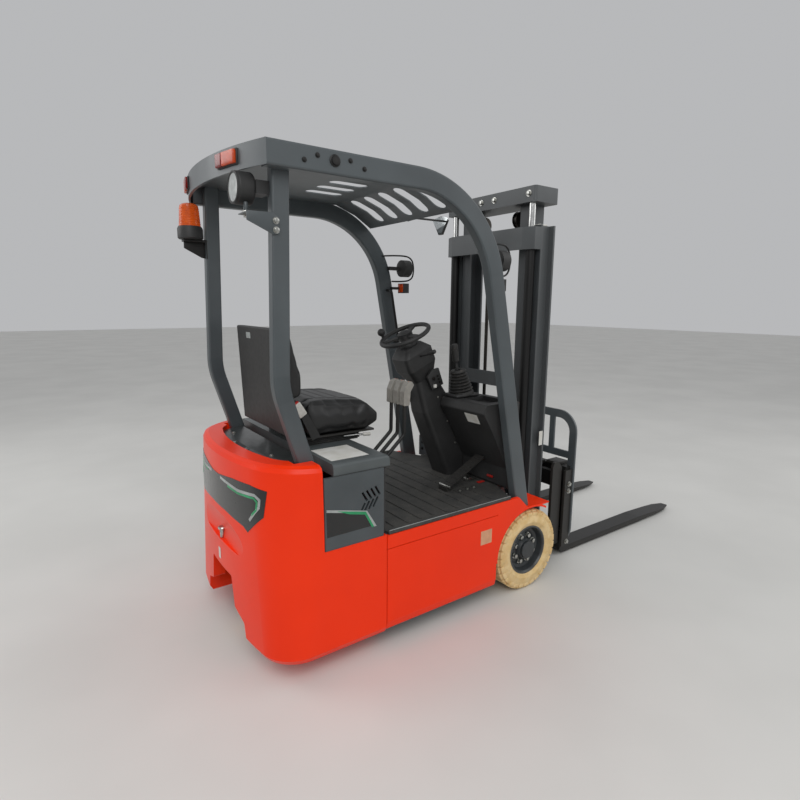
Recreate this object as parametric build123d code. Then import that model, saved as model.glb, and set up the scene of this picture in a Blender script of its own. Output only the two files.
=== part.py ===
"""Compact three-wheel electric counterbalance forklift with a duplex mast.

Millimetres. +X points to the forks, +Y to the left, +Z up. While the truck is drawn, x = 0 is the
front axle; each piece is moved at the end so that the middle of the truck's length is at x = 0.
"""
import math
import os

from build123d import *

# Whole truck
WHEELBASE = 1210.0
BODY_HALF = 515.0            # half the body's width
GROUND_GAP = 82.0            # underside of the body above the floor
STEP_Z = 534.0               # top of the floor plate
SEAM_X = -WHEELBASE + 321    # joint between counterweight and body
ARCH_X = -243.0              # rear wall of the front wheel arch
RUN = 0.3                    # gap between curved faces that turn in each other

# Front wheels
TYRE_R = 212.5
TYRE_W = 150.0
RIM_R = 129.0
RIM_W = 132.0
TYRE_OUT = 510.0             # outer face of the tyre from the middle of the truck
AXLE_R = 28.0

# Rear drive wheel
DRIVE_R = 125.0
DRIVE_W = 105.0
DRIVE_AXLE_R = 20.0
FORK_ARM_T = 22.0
KINGPIN_R = 60.0
TURNTABLE_Z = 330.0

# Chassis
PLATE = 12.0
CHEEK_Y = 320.0              # inner face of the long side plates
CHEEK_T = 20.0
CHEEK_FRONT = 75.0
BOSS_OUT = 353.0             # outer face of the axle boss
FRAME_TOP = 512.0
DECK_T = 12.0               # floor plate
MAT_T = 9.0
MAT_TOP = FRAME_TOP + DECK_T + MAT_T
BULKHEAD_X = (-20.0, -8.0)
BULKHEAD_TOP = 640.0
PIVOT_X = 45.0               # mast pivot
PIVOT_Z = 165.0
PIVOT_R = 18.0
BATTERY = (540.0, 560.0, 250.0)
BATTERY_X = -590.0

# Body panels
PANEL_T = 15.0
PANEL_TOP = 461.0
SKIRT = 34.0
SILL_TOP = 523.0
FENDER_Z = 440.0
FENDER_R = 236.0
FENDER_FRONT = 130.0
COVER_T = 14.0
COVER_X = (SEAM_X - 283, SEAM_X - 14)
COVER_Z = (528.3, 818.0)

# Counterweight
REAR_X = -WHEELBASE - 210    # rearmost point of the counterweight
CORNER_R = 150.0             # round rear corners at the foot and at the top
CORNER_TOP = 270.0
REAR_BULGE = 30.0
WEIGHT_TOP = 868.0
WEIGHT_LOW = 85.0
WEIGHT_WALL = 60.0
CAVITY_HALF = 250.0          # space for the drive unit
CAVITY_TOP = 700.0
RING_W = 88.0                # raised lip round the rear cover
DECK_Z = 838.0
SCOOP_Z = 457.0              # ledge under the hollow in the rear face

# Hood and seat
LID_X = (SEAM_X - 239, SEAM_X + 27)
LID_HALF = 505.0
LID_Z = (818.6, 864.0)
LID_HINGE = (SEAM_X - 237, 846.0)
SEAT_HALF = 240.0
SEAT_X = (SEAM_X - 231, SEAM_X + 154)
SEAT_BASE_Z = (868.0, 905.0)
CUSHION_Z = (905.0, 1058.0)
BACK_X = (SEAM_X - 333, SEAM_X - 223)
BACK_Z = (930.0, 1362.0)
BACK_LEAN = (58.0, 30.0)     # front face of the shell behind its rearmost point, foot and top

# Overhead guard
GUARD_Y = 443.0              # middle of the roof rails
FOOT_Y = 474.0               # middle of the front legs at the foot
GUARD_W = 50.0
GUARD_H = 86.0
GUARD_TOP = 1993.0
FOOT_X = -47.0
KNEE_X = -341.0
GUARD_BEND = 450.0
RAIL_REAR = SEAM_X - 446
PILLAR = (65.0, 45.0)
PILLAR_TOP_X = SEAM_X - 373
PILLAR_MID = (SEAM_X - 395, 1150.0)
PILLAR_FOOT = (SEAM_X - 299, 838.0)
PILLAR_BEND = 330.0
ROOF_T = 5.0
ROOF_DROP = 13.0             # underside of the flat roof sheet below the top of the rails
ROOF_BEND = -600.0           # where the sheet starts to slope down
ROOF_FRONT = -382.0
ROOF_NOSE = 104.0            # how much lower its front edge lies
SLOT_W = 68.0

# Mast
RAIL_X = (172.0, 280.0)      # depth of both pairs of rails
OUTER_Y = (265.0, 335.0)
INNER_Y = (190.0, 254.0)
FLANGE = 12.0
WEB = 12.0
OUTER_Z = (96.0, 1866.0)
INNER_Z = (116.0, 1973.0)
BEAM_H = 77.0
BEAM_X = (115.0, 293.0)
CROSS_X = 100.0
CROSS_Z = (1742.0, 1853.0)
CYL_X = 146.0
CYL_Y = 292.0
CYL_R = 24.0
ROD_R = 17.0
CYL_TOP = 1790.0
PULLEY_R = 44.0
CHAIN_Y = 135.0
CHAIN_T = 12.0
CHAIN_W = 22.0
LIFT_STROKE = 1450.0

# Carriage, side shifter, forks and backrest
CARRIAGE_Z = (150.0, 500.0)
ROLLER_R = (RAIL_X[1] - RAIL_X[0]) / 2 - FLANGE - RUN
BAR_X = (322.0, 354.0)
BAR_HALF = 380.0
UPPER_BAR = (460.0, 545.0)
LOWER_BAR = (110.0, 190.0)
SHIFT_X = (408.0, 446.0)
SHIFT_HALF = 400.0
SHIFT_RANGE = 75.0
SIDE_PLATE_T = 16.0
FORK_Y = 310.0
FORK_W = 100.0
FORK_T = 35.0
FORK_LENGTH = 1220.0
FORK_LOW = 10.0
SHANK_GAP = 4.0
SHANK_TOP = 560.0
BACKREST_TOP = 872.0
BACKREST_HALF = 424.0
BACKREST_BAR = (12.0, 45.0)

# Tilt cylinders
TILT_Y = 200.0
TILT_PIN_X = -420.0
TILT_PIN_Z = 445.0
TILT_EYE_X = 112.0
TILT_EYE_Z = 470.0
TILT_R = 25.0
TILT_ROD_R = 13.0
TILT_BARREL = 380.0
EYE_PIN_R = 11.0
EYE_R = 24.0
EYE_W = 48.0

# Controls
COLUMN_FOOT = (-95.0, 560.0)
WHEEL_HUB = (-436.0, 1306.0)
HAND_WHEEL_R = 138.0
HAND_WHEEL_TUBE = 11.0
LEVER_Y = (-300.0, -350.0, -400.0)
LEVER_TOP = (SEAM_X + 165, 1034.0)
LEVER_R = 8.0
HANDLE_Z = (1240.0, 1540.0)
HANDLE_OUT = 46.0

FORK_FACE = SHIFT_X[1] + SHANK_GAP + FORK_T
FORK_TIP = FORK_FACE + FORK_LENGTH
SHIFT_ORIGIN = -(FORK_TIP + REAR_X) / 2
TYRE_Y = TYRE_OUT - TYRE_W / 2

parts = {}


def block(x, y, z):
    """Box between two corners, each range given as (low, high)."""
    size = [hi - lo for lo, hi in (x, y, z)]
    middle = [(hi + lo) / 2 for lo, hi in (x, y, z)]
    return Pos(*middle) * Box(*size)


def rod_x(x, y, z, r):
    return Pos((x[0] + x[1]) / 2, y, z) * Rot(0, 90, 0) * Cylinder(r, x[1] - x[0])


def rod_y(x, y, z, r):
    return Pos(x, (y[0] + y[1]) / 2, z) * Rot(90, 0, 0) * Cylinder(r, y[1] - y[0])


def rod_z(x, y, z, r):
    return Pos(x, y, (z[0] + z[1]) / 2) * Cylinder(r, z[1] - z[0])


def outline(points, fillet_r=0.0):
    """Flat face with its corners taken anticlockwise, each rounded if a radius is given."""
    area = sum(x0 * y1 - x1 * y0 for (x0, y0), (x1, y1) in zip(points, points[1:] + points[:1]))
    face = Polygon(*(points if area > 0 else points[::-1]), align=None)
    return fillet(face.vertices(), fillet_r) if fillet_r else face


def prism_y(points, y, fillet_r=0.0):
    """Outline in X and Z, drawn between two values of y."""
    face = outline(points, fillet_r)
    plane = Plane(origin=(0, y[1], 0), x_dir=(1, 0, 0), z_dir=(0, -1, 0))
    return extrude(plane * face, amount=y[1] - y[0])


def prism_x(points, x, fillet_r=0.0):
    """Outline in Y and Z, drawn between two values of x."""
    face = outline(points, fillet_r)
    plane = Plane(origin=(x[0], 0, 0), x_dir=(0, 1, 0), z_dir=(1, 0, 0))
    return extrude(plane * face, amount=x[1] - x[0])


def prism_z(points, z, fillet_r=0.0):
    """Outline in X and Y, drawn between two heights."""
    face = outline(points, fillet_r)
    return extrude(Pos(0, 0, z[0]) * face, amount=z[1] - z[0])


def mirrored(shape):
    return mirror(shape, about=Plane.XZ)


def both(shape):
    """The shape and its mirror image on the other side of the truck."""
    return shape + mirrored(shape)


def keep(name, shape):
    parts[name] = shape


def keep_pair(name, right):
    keep(name + "_right", right)
    keep(name + "_left", mirrored(right))


def tube_along(points, radii, depth, width, corner):
    """Rounded rectangular tube swept along a bent line in a plane of constant or leaning y."""
    path = FilletPolyline(*points, radius=radii)
    start = path ^ 0
    plane = Plane(origin=start.position, x_dir=(0, 1, 0), z_dir=path % 0)
    section = plane * RectangleRounded(width, depth, corner)
    return sweep(section, path=path)


def round_rod(points, radii, r):
    path = FilletPolyline(*points, radius=radii)
    return sweep(Plane(origin=path @ 0, z_dir=path % 0) * Circle(r), path=path)


# Chassis


def chassis_frame():
    low = GROUND_GAP
    wide = BODY_HALF - 35
    belly = block((SEAM_X + 4, ARCH_X - 6), (-wide + 6, wide - 6), (low, low + PLATE))
    cheek = block((SEAM_X + 4, CHEEK_FRONT), (-CHEEK_Y - CHEEK_T, -CHEEK_Y), (low + PLATE, FRAME_TOP))
    inside = -BODY_HALF + PANEL_T + RUN
    arch_x = (ARCH_X - 6 - PLATE, ARCH_X - 6)
    arch_wall = block(arch_x, (-wide, -CHEEK_Y), (low + PLATE, FRAME_TOP))
    arch_wall = arch_wall + block(arch_x, (inside, -wide + 1), (145, FRAME_TOP))
    nose_cut = prism_y(
        [(CHEEK_FRONT + 1, FRAME_TOP + 1), (CHEEK_FRONT + 1, 300), (-30, FRAME_TOP + 1)],
        (-CHEEK_Y - CHEEK_T - 1, -CHEEK_Y + 1),
    )
    rear_x = (SEAM_X + 4, SEAM_X + 4 + PLATE)
    rear_wall = block(rear_x, (-wide, wide), (low + PLATE, FRAME_TOP))
    rear_wall = rear_wall + block(rear_x, (inside, -inside), (145, FRAME_TOP))
    front_beam = block((-120, -60), (-CHEEK_Y, CHEEK_Y), (low + PLATE, 250))
    battery_stop = block((BATTERY_X + BATTERY[0] / 2 + 6, BATTERY_X + BATTERY[0] / 2 + 6 + PLATE),
                         (-CHEEK_Y, CHEEK_Y), (low + PLATE, 360))
    lug = block((-60, PIVOT_X + 30), (-CHEEK_Y, -CHEEK_Y + 26), (PIVOT_Z - 40, PIVOT_Z + 40))
    bore = rod_y(PIVOT_X, (-CHEEK_Y - CHEEK_T, -CHEEK_Y + 27), PIVOT_Z, PIVOT_R + RUN)
    boss = rod_y(0, (-BOSS_OUT, -CHEEK_Y - CHEEK_T + 1), TYRE_R, 55)
    boss = boss + rod_y(0, (-TYRE_OUT + 22, -BOSS_OUT + 1), TYRE_R, AXLE_R)
    tilt_beam = block((TILT_PIN_X - 60, TILT_PIN_X - 30), (-CHEEK_Y, CHEEK_Y), (TILT_PIN_Z - 60, FRAME_TOP))
    ears = None
    for side in (-1, 1):
        for off in (-1, 1):
            y = side * TILT_Y + off * (EYE_W / 2 + 5 + 6)
            ear = block((TILT_PIN_X - 31, TILT_PIN_X + 20), (y - 6, y + 6), (TILT_PIN_Z - 24, TILT_PIN_Z + 24))
            ears = ear if ears is None else ears + ear
    pins = both(rod_y(TILT_PIN_X, (-TILT_Y - EYE_W / 2 - 17, -TILT_Y + EYE_W / 2 + 17), TILT_PIN_Z, EYE_PIN_R))
    half = cheek - nose_cut + arch_wall + lug + boss
    half = half - bore
    return belly + both(half) + rear_wall + front_beam + battery_stop + tilt_beam + ears + pins


def battery_block():
    z = GROUND_GAP + PLATE
    half = BATTERY[0] / 2
    case = block((BATTERY_X - half, BATTERY_X + half), (-BATTERY[1] / 2, BATTERY[1] / 2), (z, z + BATTERY[2]))
    return fillet(case.edges().filter_by(Axis.Z), 12)


def side_panel():
    profile = [
        (-BODY_HALF + SKIRT * 0.75, GROUND_GAP),
        (-BODY_HALF + SKIRT * 0.2, GROUND_GAP + SKIRT * 0.5),
        (-BODY_HALF, GROUND_GAP + SKIRT * 1.4),
        (-BODY_HALF, PANEL_TOP),
        (-BODY_HALF + PANEL_T, PANEL_TOP),
        (-BODY_HALF + PANEL_T, GROUND_GAP + SKIRT * 1.6),
        (-BODY_HALF + SKIRT * 0.75, GROUND_GAP + PANEL_T),
    ]
    return prism_x(profile, (SEAM_X + 2, ARCH_X))


def fender():
    """Sill band and the arched mudguard over the front wheel."""
    y = (-BODY_HALF, -BODY_HALF + PANEL_T)
    sill = block((SEAM_X + 2, ARCH_X + 40), y, (PANEL_TOP + 3, SILL_TOP))
    top = FENDER_Z + 8
    web = prism_y(
        [(ARCH_X, PANEL_TOP + 3), (ARCH_X, 210), (ARCH_X + 30, 210), (0, top), (FENDER_FRONT, top),
         (FENDER_FRONT, top + 6), (-30, top + 6), (-100, SILL_TOP), (ARCH_X, SILL_TOP)], y)
    hole = rod_y(0, (-BODY_HALF - 1, -BODY_HALF + PANEL_T + 1), TYRE_R, FENDER_R)
    lip_outer = rod_y(0, y, TYRE_R, FENDER_R + 10)
    lip = lip_outer - hole
    lip = lip & block((ARCH_X, FENDER_FRONT - 20), y, (210, FENDER_Z + 40))
    plate = block((-232, FENDER_FRONT), (-BODY_HALF + PANEL_T, -CHEEK_Y - CHEEK_T), (FENDER_Z + 8, FENDER_Z + 14))
    return sill + (web - hole) + lip + plate


def floor_plate():
    """Steel floor with the low upright wall at its front edge."""
    half = BODY_HALF - PANEL_T - 1
    z = (FRAME_TOP, FRAME_TOP + DECK_T)
    front = BULKHEAD_X[1]
    plate = prism_z([(SEAM_X + 6, -half), (-150, -half), (-70, -330), (front, -330), (front, 330), (-70, 330),
                     (-150, half), (SEAM_X + 6, half)], z)
    return plate + block(BULKHEAD_X, (-410, 410), (FRAME_TOP, BULKHEAD_TOP))


def floor_mat():
    half = BODY_HALF - 4
    z = FRAME_TOP + DECK_T
    mat = prism_z([(SEAM_X + 10, -half), (-156, -half), (-76, -326), (-26, -326), (-26, 326), (-76, 326),
                   (-156, half), (SEAM_X + 10, half)], (z + RUN, z + MAT_T))
    ribs = None
    for index in range(9):
        x = SEAM_X + 60 + index * 72
        rib = block((x, x + 10), (-half + 40, half - 40), (z + MAT_T, z + MAT_T + 3))
        ribs = rib if ribs is None else ribs + rib
    return mat + ribs


# Counterweight and rear


def weight_outline(z, inset=0.0, corner=CORNER_TOP):
    """Plan of the counterweight at a height: straight sides, round corners and a bulging rear."""
    half = BODY_HALF - inset
    corner_x = REAR_X + inset + REAR_BULGE
    with BuildSketch() as plan:
        with BuildLine():
            side = Line((SEAM_X - 2, -half), (corner_x + corner, -half))
            bend = JernArc(side @ 1, side % 1, corner, -78)
            ThreePointArc(bend @ 1, (REAR_X + inset, 0), ((bend @ 1).X, -(bend @ 1).Y))
            mirror(side, about=Plane.XZ)
            mirror(bend, about=Plane.XZ)
            Line((SEAM_X - 2, half), (SEAM_X - 2, -half))
        make_face()
    return Pos(0, 0, z) * plan.sketch


def counterweight():
    """Casting with boxy corners at the foot that grow rounder to a lip with a soft edge."""
    body = loft([weight_outline(WEIGHT_LOW, 14, CORNER_R), weight_outline(WEIGHT_LOW + 26, 0, CORNER_R)], ruled=True)
    body = body + loft([weight_outline(WEIGHT_LOW + 26, 0, CORNER_R), weight_outline(WEIGHT_TOP - 24)], ruled=True)
    body = body + loft([weight_outline(WEIGHT_TOP - 24), weight_outline(WEIGHT_TOP - 8, 6)], ruled=True)
    body = body + loft([weight_outline(WEIGHT_TOP - 8, 6), weight_outline(WEIGHT_TOP, 20)], ruled=True)
    deck = extrude(weight_outline(DECK_Z, RING_W, CORNER_TOP - RING_W), amount=WEIGHT_TOP - DECK_Z + 1)
    pocket_y = GUARD_Y - GUARD_W / 2 - PILLAR[1] / 2
    pocket = block((PILLAR_FOOT[0] - 62, PILLAR_FOOT[0] + 70), (-pocket_y - 26, -pocket_y + 26), (DECK_Z, WEIGHT_TOP + 1))
    body = body - deck - both(pocket)
    body = body - block((COVER_X[0] - 4, SEAM_X + 1), (-BODY_HALF - 1, BODY_HALF + 1), (COVER_Z[0] - RUN, WEIGHT_TOP + 1))
    cavity = block((REAR_X + WEIGHT_WALL, SEAM_X + 1), (-CAVITY_HALF, CAVITY_HALF), (WEIGHT_LOW - 1, CAVITY_TOP))
    arch = prism_x([(-262, 60), (-238, 172), (-150, 205), (-125, 335), (125, 335), (150, 205), (238, 172), (262, 60)],
                   (REAR_X - 10, REAR_X + 320), 12)
    scoop = rod_y(REAR_X - 180, (-320, 320), SCOOP_Z + 43, 198)
    scoop = scoop & block((REAR_X - 20, REAR_X + 60), (-320, 320), (SCOOP_Z, SCOOP_Z + 300))
    return body - cavity - arch - scoop


def rear_cover():
    """Domed cover in the recess behind the hood, cut away round the pillars' feet."""
    low = DECK_Z + RUN
    gap = RING_W + 3
    corner = CORNER_TOP - gap
    cover = extrude(weight_outline(low, gap, corner), amount=10)
    cover = cover + loft([weight_outline(low + 10, gap, corner), weight_outline(low + 18, gap + 34, corner - 34)], ruled=True)
    cover = cover & block((REAR_X, LID_X[0] - 48), (-BODY_HALF, BODY_HALF), (DECK_Z, DECK_Z + 60))
    for side in (-1, 1):
        foot = block((PILLAR_FOOT[0] - 66, PILLAR_FOOT[0] + 70),
                     (side * 396 - 34, side * 396 + 34), (DECK_Z - 1, DECK_Z + 60))
        cover = cover - foot
    return cover


def side_cover():
    """Grey cover beside the hood, with its slanted vent slots."""
    x = COVER_X
    shell = block(x, (-BODY_HALF + 2, -BODY_HALF + 2 + COVER_T), COVER_Z)
    shell = fillet(shell.edges().filter_by(Axis.Z), 5)
    for row, lean in ((0, 30), (1, -30)):
        for index in range(4):
            px = x[1] - 102 + row * 10 + index * 20
            pz = 668 + row * 46 + index * 5
            slot = Pos(px, -BODY_HALF + 8, pz) * Rot(0, lean, 0) * Box(9, 40, 44)
            shell = shell - slot
    return shell


def hood_front():
    """Upright wall under the front edge of the hood."""
    return block((COVER_X[1] + 3, COVER_X[1] + 17), (-BODY_HALF + 20, BODY_HALF - 20), (COVER_Z[0], COVER_Z[1] - 8))


# Drive unit


def drive_housing():
    y = DRIVE_W / 2 + 12
    arm = block((-WHEELBASE - 45, -WHEELBASE + 45), (-y - FORK_ARM_T, -y), (DRIVE_R - 55, TURNTABLE_Z - 30))
    arm = fillet(arm.edges().filter_by(Axis.Y), 24)
    crown = block((-WHEELBASE - 60, -WHEELBASE + 60), (-y - FORK_ARM_T, y + FORK_ARM_T),
                  (TURNTABLE_Z - 52, TURNTABLE_Z - 20))
    disc = rod_z(-WHEELBASE, 0, (TURNTABLE_Z - 20, TURNTABLE_Z), 110)
    axle = rod_y(-WHEELBASE, (-y - 1, y + 1), DRIVE_R, DRIVE_AXLE_R)
    return both(arm) + crown + disc + axle


def drive_motor():
    return rod_z(-WHEELBASE, 0, (TURNTABLE_Z + 0, TURNTABLE_Z + 270), 95)


def turntable():
    """Fixed plate and bearing ring under which the drive unit turns."""
    low = TURNTABLE_Z + 20
    plate = block((REAR_X + WEIGHT_WALL, SEAM_X + 4), (-CAVITY_HALF, CAVITY_HALF), (low, low + 14))
    ring = rod_z(-WHEELBASE, 0, (TURNTABLE_Z + RUN, low), 128)
    return plate + ring - rod_z(-WHEELBASE, 0, (TURNTABLE_Z, TURNTABLE_Z + 60), 102)


def drive_wheel():
    ring = rod_y(-WHEELBASE, (-DRIVE_W / 2, DRIVE_W / 2), DRIVE_R, DRIVE_R)
    ring = fillet(ring.edges().filter_by(GeomType.CIRCLE), 8)
    return ring - rod_y(-WHEELBASE, (-DRIVE_W, DRIVE_W), DRIVE_R, 85)


def drive_rim():
    rim = rod_y(-WHEELBASE, (-DRIVE_W / 2 + 3, DRIVE_W / 2 - 3), DRIVE_R, 85)
    return rim - rod_y(-WHEELBASE, (-DRIVE_W, DRIVE_W), DRIVE_R, DRIVE_AXLE_R + RUN)


# Front wheels


def tyre():
    """Solid tyre: a revolved section with round shoulders."""
    half = TYRE_W / 2
    section = Polygon(
        (RIM_R, -half + 8), (RIM_R + 22, -half), (TYRE_R - 20, -half + 2), (TYRE_R, -half + 24),
        (TYRE_R, half - 24), (TYRE_R - 20, half - 2), (RIM_R + 22, half), (RIM_R, half - 8), align=None)
    ring = revolve(section, axis=Axis.Y)
    return Pos(0, -TYRE_Y, TYRE_R) * ring


def rim():
    half = RIM_W / 2
    section = Polygon(
        (RIM_R, -half), (RIM_R - 8, -half - 2), (RIM_R - 14, -half + 6), (RIM_R - 22, -half + 34), (92, -half + 40),
        (60, -half + 30), (50, -half + 8), (AXLE_R + RUN, -half + 8), (AXLE_R + RUN, half - 30),
        (100, half - 30), (108, half - 4), (RIM_R, half), align=None)
    ring = revolve(section, axis=Axis.Y)
    return Pos(0, -TYRE_Y, TYRE_R) * ring


def hub_cap():
    cap = rod_y(0, (-TYRE_OUT + 4, -TYRE_Y - RIM_W / 2 + 8), TYRE_R, 46)
    return fillet(cap.edges().filter_by(GeomType.CIRCLE), 4)


# Hood, seat


def hood_lid():
    x0, x1 = LID_X
    z0, z1 = LID_Z
    profile = [(x0, z0), (x1, z0), (x1, z1), (x0, z1)]
    shell = prism_y(profile, (-LID_HALF, LID_HALF))
    front_edges = shell.edges().filter_by(Axis.Y).group_by(Axis.Z)[-1].group_by(Axis.X)[-1]
    shell = fillet(front_edges, 26)
    side_edges = shell.edges().filter_by(Axis.X).group_by(Axis.Z)[-1]
    shell = fillet(side_edges, 16)
    hollow = block((x0 + 8, x1 - 8), (-LID_HALF + 8, LID_HALF - 8), (z0 - 1, z1 - 10))
    return shell - hollow


def seat_base():
    x0, x1 = SEAT_X
    box = block((x0 + 20, x1 - 105), (-SEAT_HALF + 40, SEAT_HALF - 40), (LID_Z[1], SEAT_BASE_Z[1]))
    rail = block((x0, x1 - 30), (-SEAT_HALF + 20, SEAT_HALF - 20), (SEAT_BASE_Z[1] - 8, SEAT_BASE_Z[1]))
    return box + rail


def seat_cushion():
    x0, x1 = SEAT_X
    z0, z1 = CUSHION_Z
    profile = [(x0 + 10, z0 + RUN), (x1 - 60, z0 + RUN), (x1, z0 + 30), (x1, z0 + 70), (x1 - 60, z1 - 28), (x0 + 10, z1)]
    return prism_y(profile, (-SEAT_HALF, SEAT_HALF), 14)


def seat_back():
    """Shell behind the back cushion, carried up from the seat's base."""
    x0 = BACK_X[0]
    profile = [(x0 + 18, BACK_Z[0]), (x0 + BACK_LEAN[0], BACK_Z[0]), (x0 + BACK_LEAN[1], BACK_Z[1]), (x0, BACK_Z[1])]
    shell = prism_y(profile, (-SEAT_HALF + 4, SEAT_HALF - 4), 6)
    arm = prism_y(
        [(SEAT_X[0], SEAT_BASE_Z[1] - 8), (SEAT_X[0], SEAT_BASE_Z[1]), (x0 + 50, BACK_Z[0] + 40), (x0 + 24, BACK_Z[0] + 10)],
        (-SEAT_HALF + 60, -SEAT_HALF + 90))
    return shell + both(arm)


def back_cushion():
    x0, x1 = BACK_X
    low, high = BACK_Z[0] + 128, BACK_Z[1] - 6
    slope = (BACK_LEAN[1] - BACK_LEAN[0]) / (BACK_Z[1] - BACK_Z[0])
    rear = [x0 + BACK_LEAN[0] + slope * (z - BACK_Z[0]) + 2 * RUN for z in (low, high)]
    profile = [(rear[0], low), (x1, low + 20), (x1 - 2, low + 100), (rear[1] + 22, high), (rear[1], high)]
    return prism_y(profile, (-SEAT_HALF + 14, SEAT_HALF - 14))


# Overhead guard


def guard_rail():
    z = GUARD_TOP - GUARD_H / 2
    lean = (KNEE_X - FOOT_X) / (z - FENDER_Z)
    points = [(FOOT_X - 40 * lean, -FOOT_Y, FENDER_Z - 40), (KNEE_X, -GUARD_Y, z), (RAIL_REAR, -GUARD_Y, z)]
    rail = tube_along(points, GUARD_BEND, GUARD_H, GUARD_W, 9)
    return rail - block((-300, 200), (-600, -300), (300, FENDER_Z + 14))


def rear_pillar():
    y = -(GUARD_Y - GUARD_W / 2 - PILLAR[1] / 2 - 3 * RUN)
    lean = (PILLAR_FOOT[0] - PILLAR_MID[0]) / (PILLAR_MID[1] - PILLAR_FOOT[1])
    points = [(PILLAR_FOOT[0] + 30 * lean, y, PILLAR_FOOT[1] - 30), (PILLAR_MID[0], y, PILLAR_MID[1]),
              (PILLAR_TOP_X, y, GUARD_TOP + 20)]
    post = tube_along(points, PILLAR_BEND, PILLAR[0], PILLAR[1], 8)
    return post & block((REAR_X, SEAM_X), (-600, 0), (DECK_Z, GUARD_TOP - ROOF_DROP - RUN))


def rear_beam():
    """Curved band across the rear of the roof."""
    half = GUARD_Y + GUARD_W / 2
    with BuildSketch() as plan:
        with BuildLine():
            a = ThreePointArc((RAIL_REAR, -half), (REAR_X - 2, 0), (RAIL_REAR, half))
            b = Line(a @ 1, (RAIL_REAR, half - 12))
            c = ThreePointArc(b @ 1, (REAR_X + 10, 0), (RAIL_REAR, -half + 12))
            Line(c @ 1, a @ 0)
        make_face()
    return extrude(Pos(0, 0, GUARD_TOP - 84) * plan.sketch, amount=82)


def roof_panel():
    """Bent sheet between the rails with two groups of long slots."""
    half = GUARD_Y - GUARD_W / 2 - 3 * RUN
    z = GUARD_TOP - ROOF_DROP
    nose = z - ROOF_NOSE
    mid = (ROOF_BEND + ROOF_FRONT) / 2 + 10
    sheet = block((RAIL_REAR, ROOF_BEND), (-half, half), (z, z + ROOF_T))
    sheet = sheet + prism_y(
        [(ROOF_BEND, z), (mid, z - ROOF_NOSE * 0.42), (ROOF_FRONT, nose), (ROOF_FRONT, nose + ROOF_T + 1),
         (mid, z - ROOF_NOSE * 0.42 + ROOF_T + 1), (ROOF_BEND, z + ROOF_T)], (-half + 2, half - 2))
    for index in range(4):
        sheet = sheet - slot_cut((ROOF_BEND - 288, ROOF_BEND - 100), (index - 1.5) * 117, z)
    for index in range(5):
        sheet = sheet - slot_cut((ROOF_BEND + 6, ROOF_FRONT - 24), (index - 2) * 127, z)
    return sheet


def slot_cut(x, y, z):
    middle = (x[0] + x[1]) / 2
    return Pos(middle, y, z - 120) * extrude(SlotOverall(x[1] - x[0], SLOT_W), amount=200)


# Mast


def i_rail(y, z):
    """Rolled mast section on the right side, standing upright."""
    x0, x1 = RAIL_X
    low, high = -y[1], -y[0]
    body = block((x0, x1), (low, high), z)
    web_low = low + 30
    outer = block((x0 + FLANGE, x1 - FLANGE), (low - 1, web_low), (z[0] - 1, z[1] + 1))
    inner = block((x0 + FLANGE, x1 - FLANGE), (web_low + WEB, high + 1), (z[0] - 1, z[1] + 1))
    return body - outer - inner


def c_rail(y, z):
    x0, x1 = RAIL_X
    low, high = -y[1], -y[0]
    body = block((x0, x1), (low, high), z)
    inner = block((x0 + FLANGE, x1 - FLANGE), (low + WEB, high + 1), (z[0] - 1, z[1] + 1))
    return body - inner


def outer_mast():
    rails = both(i_rail(OUTER_Y, OUTER_Z))
    z0, z1 = CROSS_Z
    half = OUTER_Y[1]
    wall = 8
    top = prism_z([(CROSS_X, -272), (CROSS_X + 26, -half), (RAIL_X[0], -half), (RAIL_X[0], -half + wall),
                   (CROSS_X + 31, -half + wall), (CROSS_X + wall, -269), (CROSS_X + wall, 269),
                   (CROSS_X + 31, half - wall), (RAIL_X[0], half - wall), (RAIL_X[0], half), (CROSS_X + 26, half),
                   (CROSS_X, 272)], (z0, z1))
    inside = OUTER_Y[0] - 6
    low = block((CROSS_X, CROSS_X + 12), (-inside, inside), (420, 520))
    tie = block((CROSS_X, RAIL_X[0] + FLANGE), (-OUTER_Y[0], -inside), (420, 520))
    foot = block((RAIL_X[0] - 20, RAIL_X[0] - 6), (-inside, inside), (100, 190))
    foot_tie = block((RAIL_X[0] - 20, RAIL_X[0] + FLANGE), (-OUTER_Y[0], -inside), (96, 190))
    shelf = block((CYL_X - CYL_R, RAIL_X[0]), (-OUTER_Y[1] + 8, -OUTER_Y[0]), (96, 110))
    tie = tie + foot_tie + shelf
    ear = prism_y([(PIVOT_X - 26, PIVOT_Z - 30), (PIVOT_X - 26, PIVOT_Z + 26), (RAIL_X[0] - 6, 290),
                    (RAIL_X[0] - 6, 110)],
                  (-inside, -inside + 22), 6)
    pin = rod_y(PIVOT_X, (-CHEEK_Y - CHEEK_T + 4, -inside), PIVOT_Z, PIVOT_R)
    lugs = None
    for off in (-1, 1):
        y = -TILT_Y + off * (EYE_W / 2 + 5 + 6)
        lug = block((TILT_EYE_X - 24, CROSS_X + 1), (y - 6, y + 6), (TILT_EYE_Z - 22, TILT_EYE_Z + 22))
        lug = lug + block((TILT_EYE_X - 60, TILT_EYE_X - 20), (y - 6, y + 6), (TILT_EYE_Z - 22, TILT_EYE_Z + 22))
        lugs = lug if lugs is None else lugs + lug
    eye_pin = rod_y(TILT_EYE_X - 40, (-TILT_Y - EYE_W / 2 - 17, -TILT_Y + EYE_W / 2 + 17), TILT_EYE_Z, EYE_PIN_R)
    return rails + top + low + foot + both(tie) + both(ear + pin) + both(lugs) + both(eye_pin)


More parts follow.
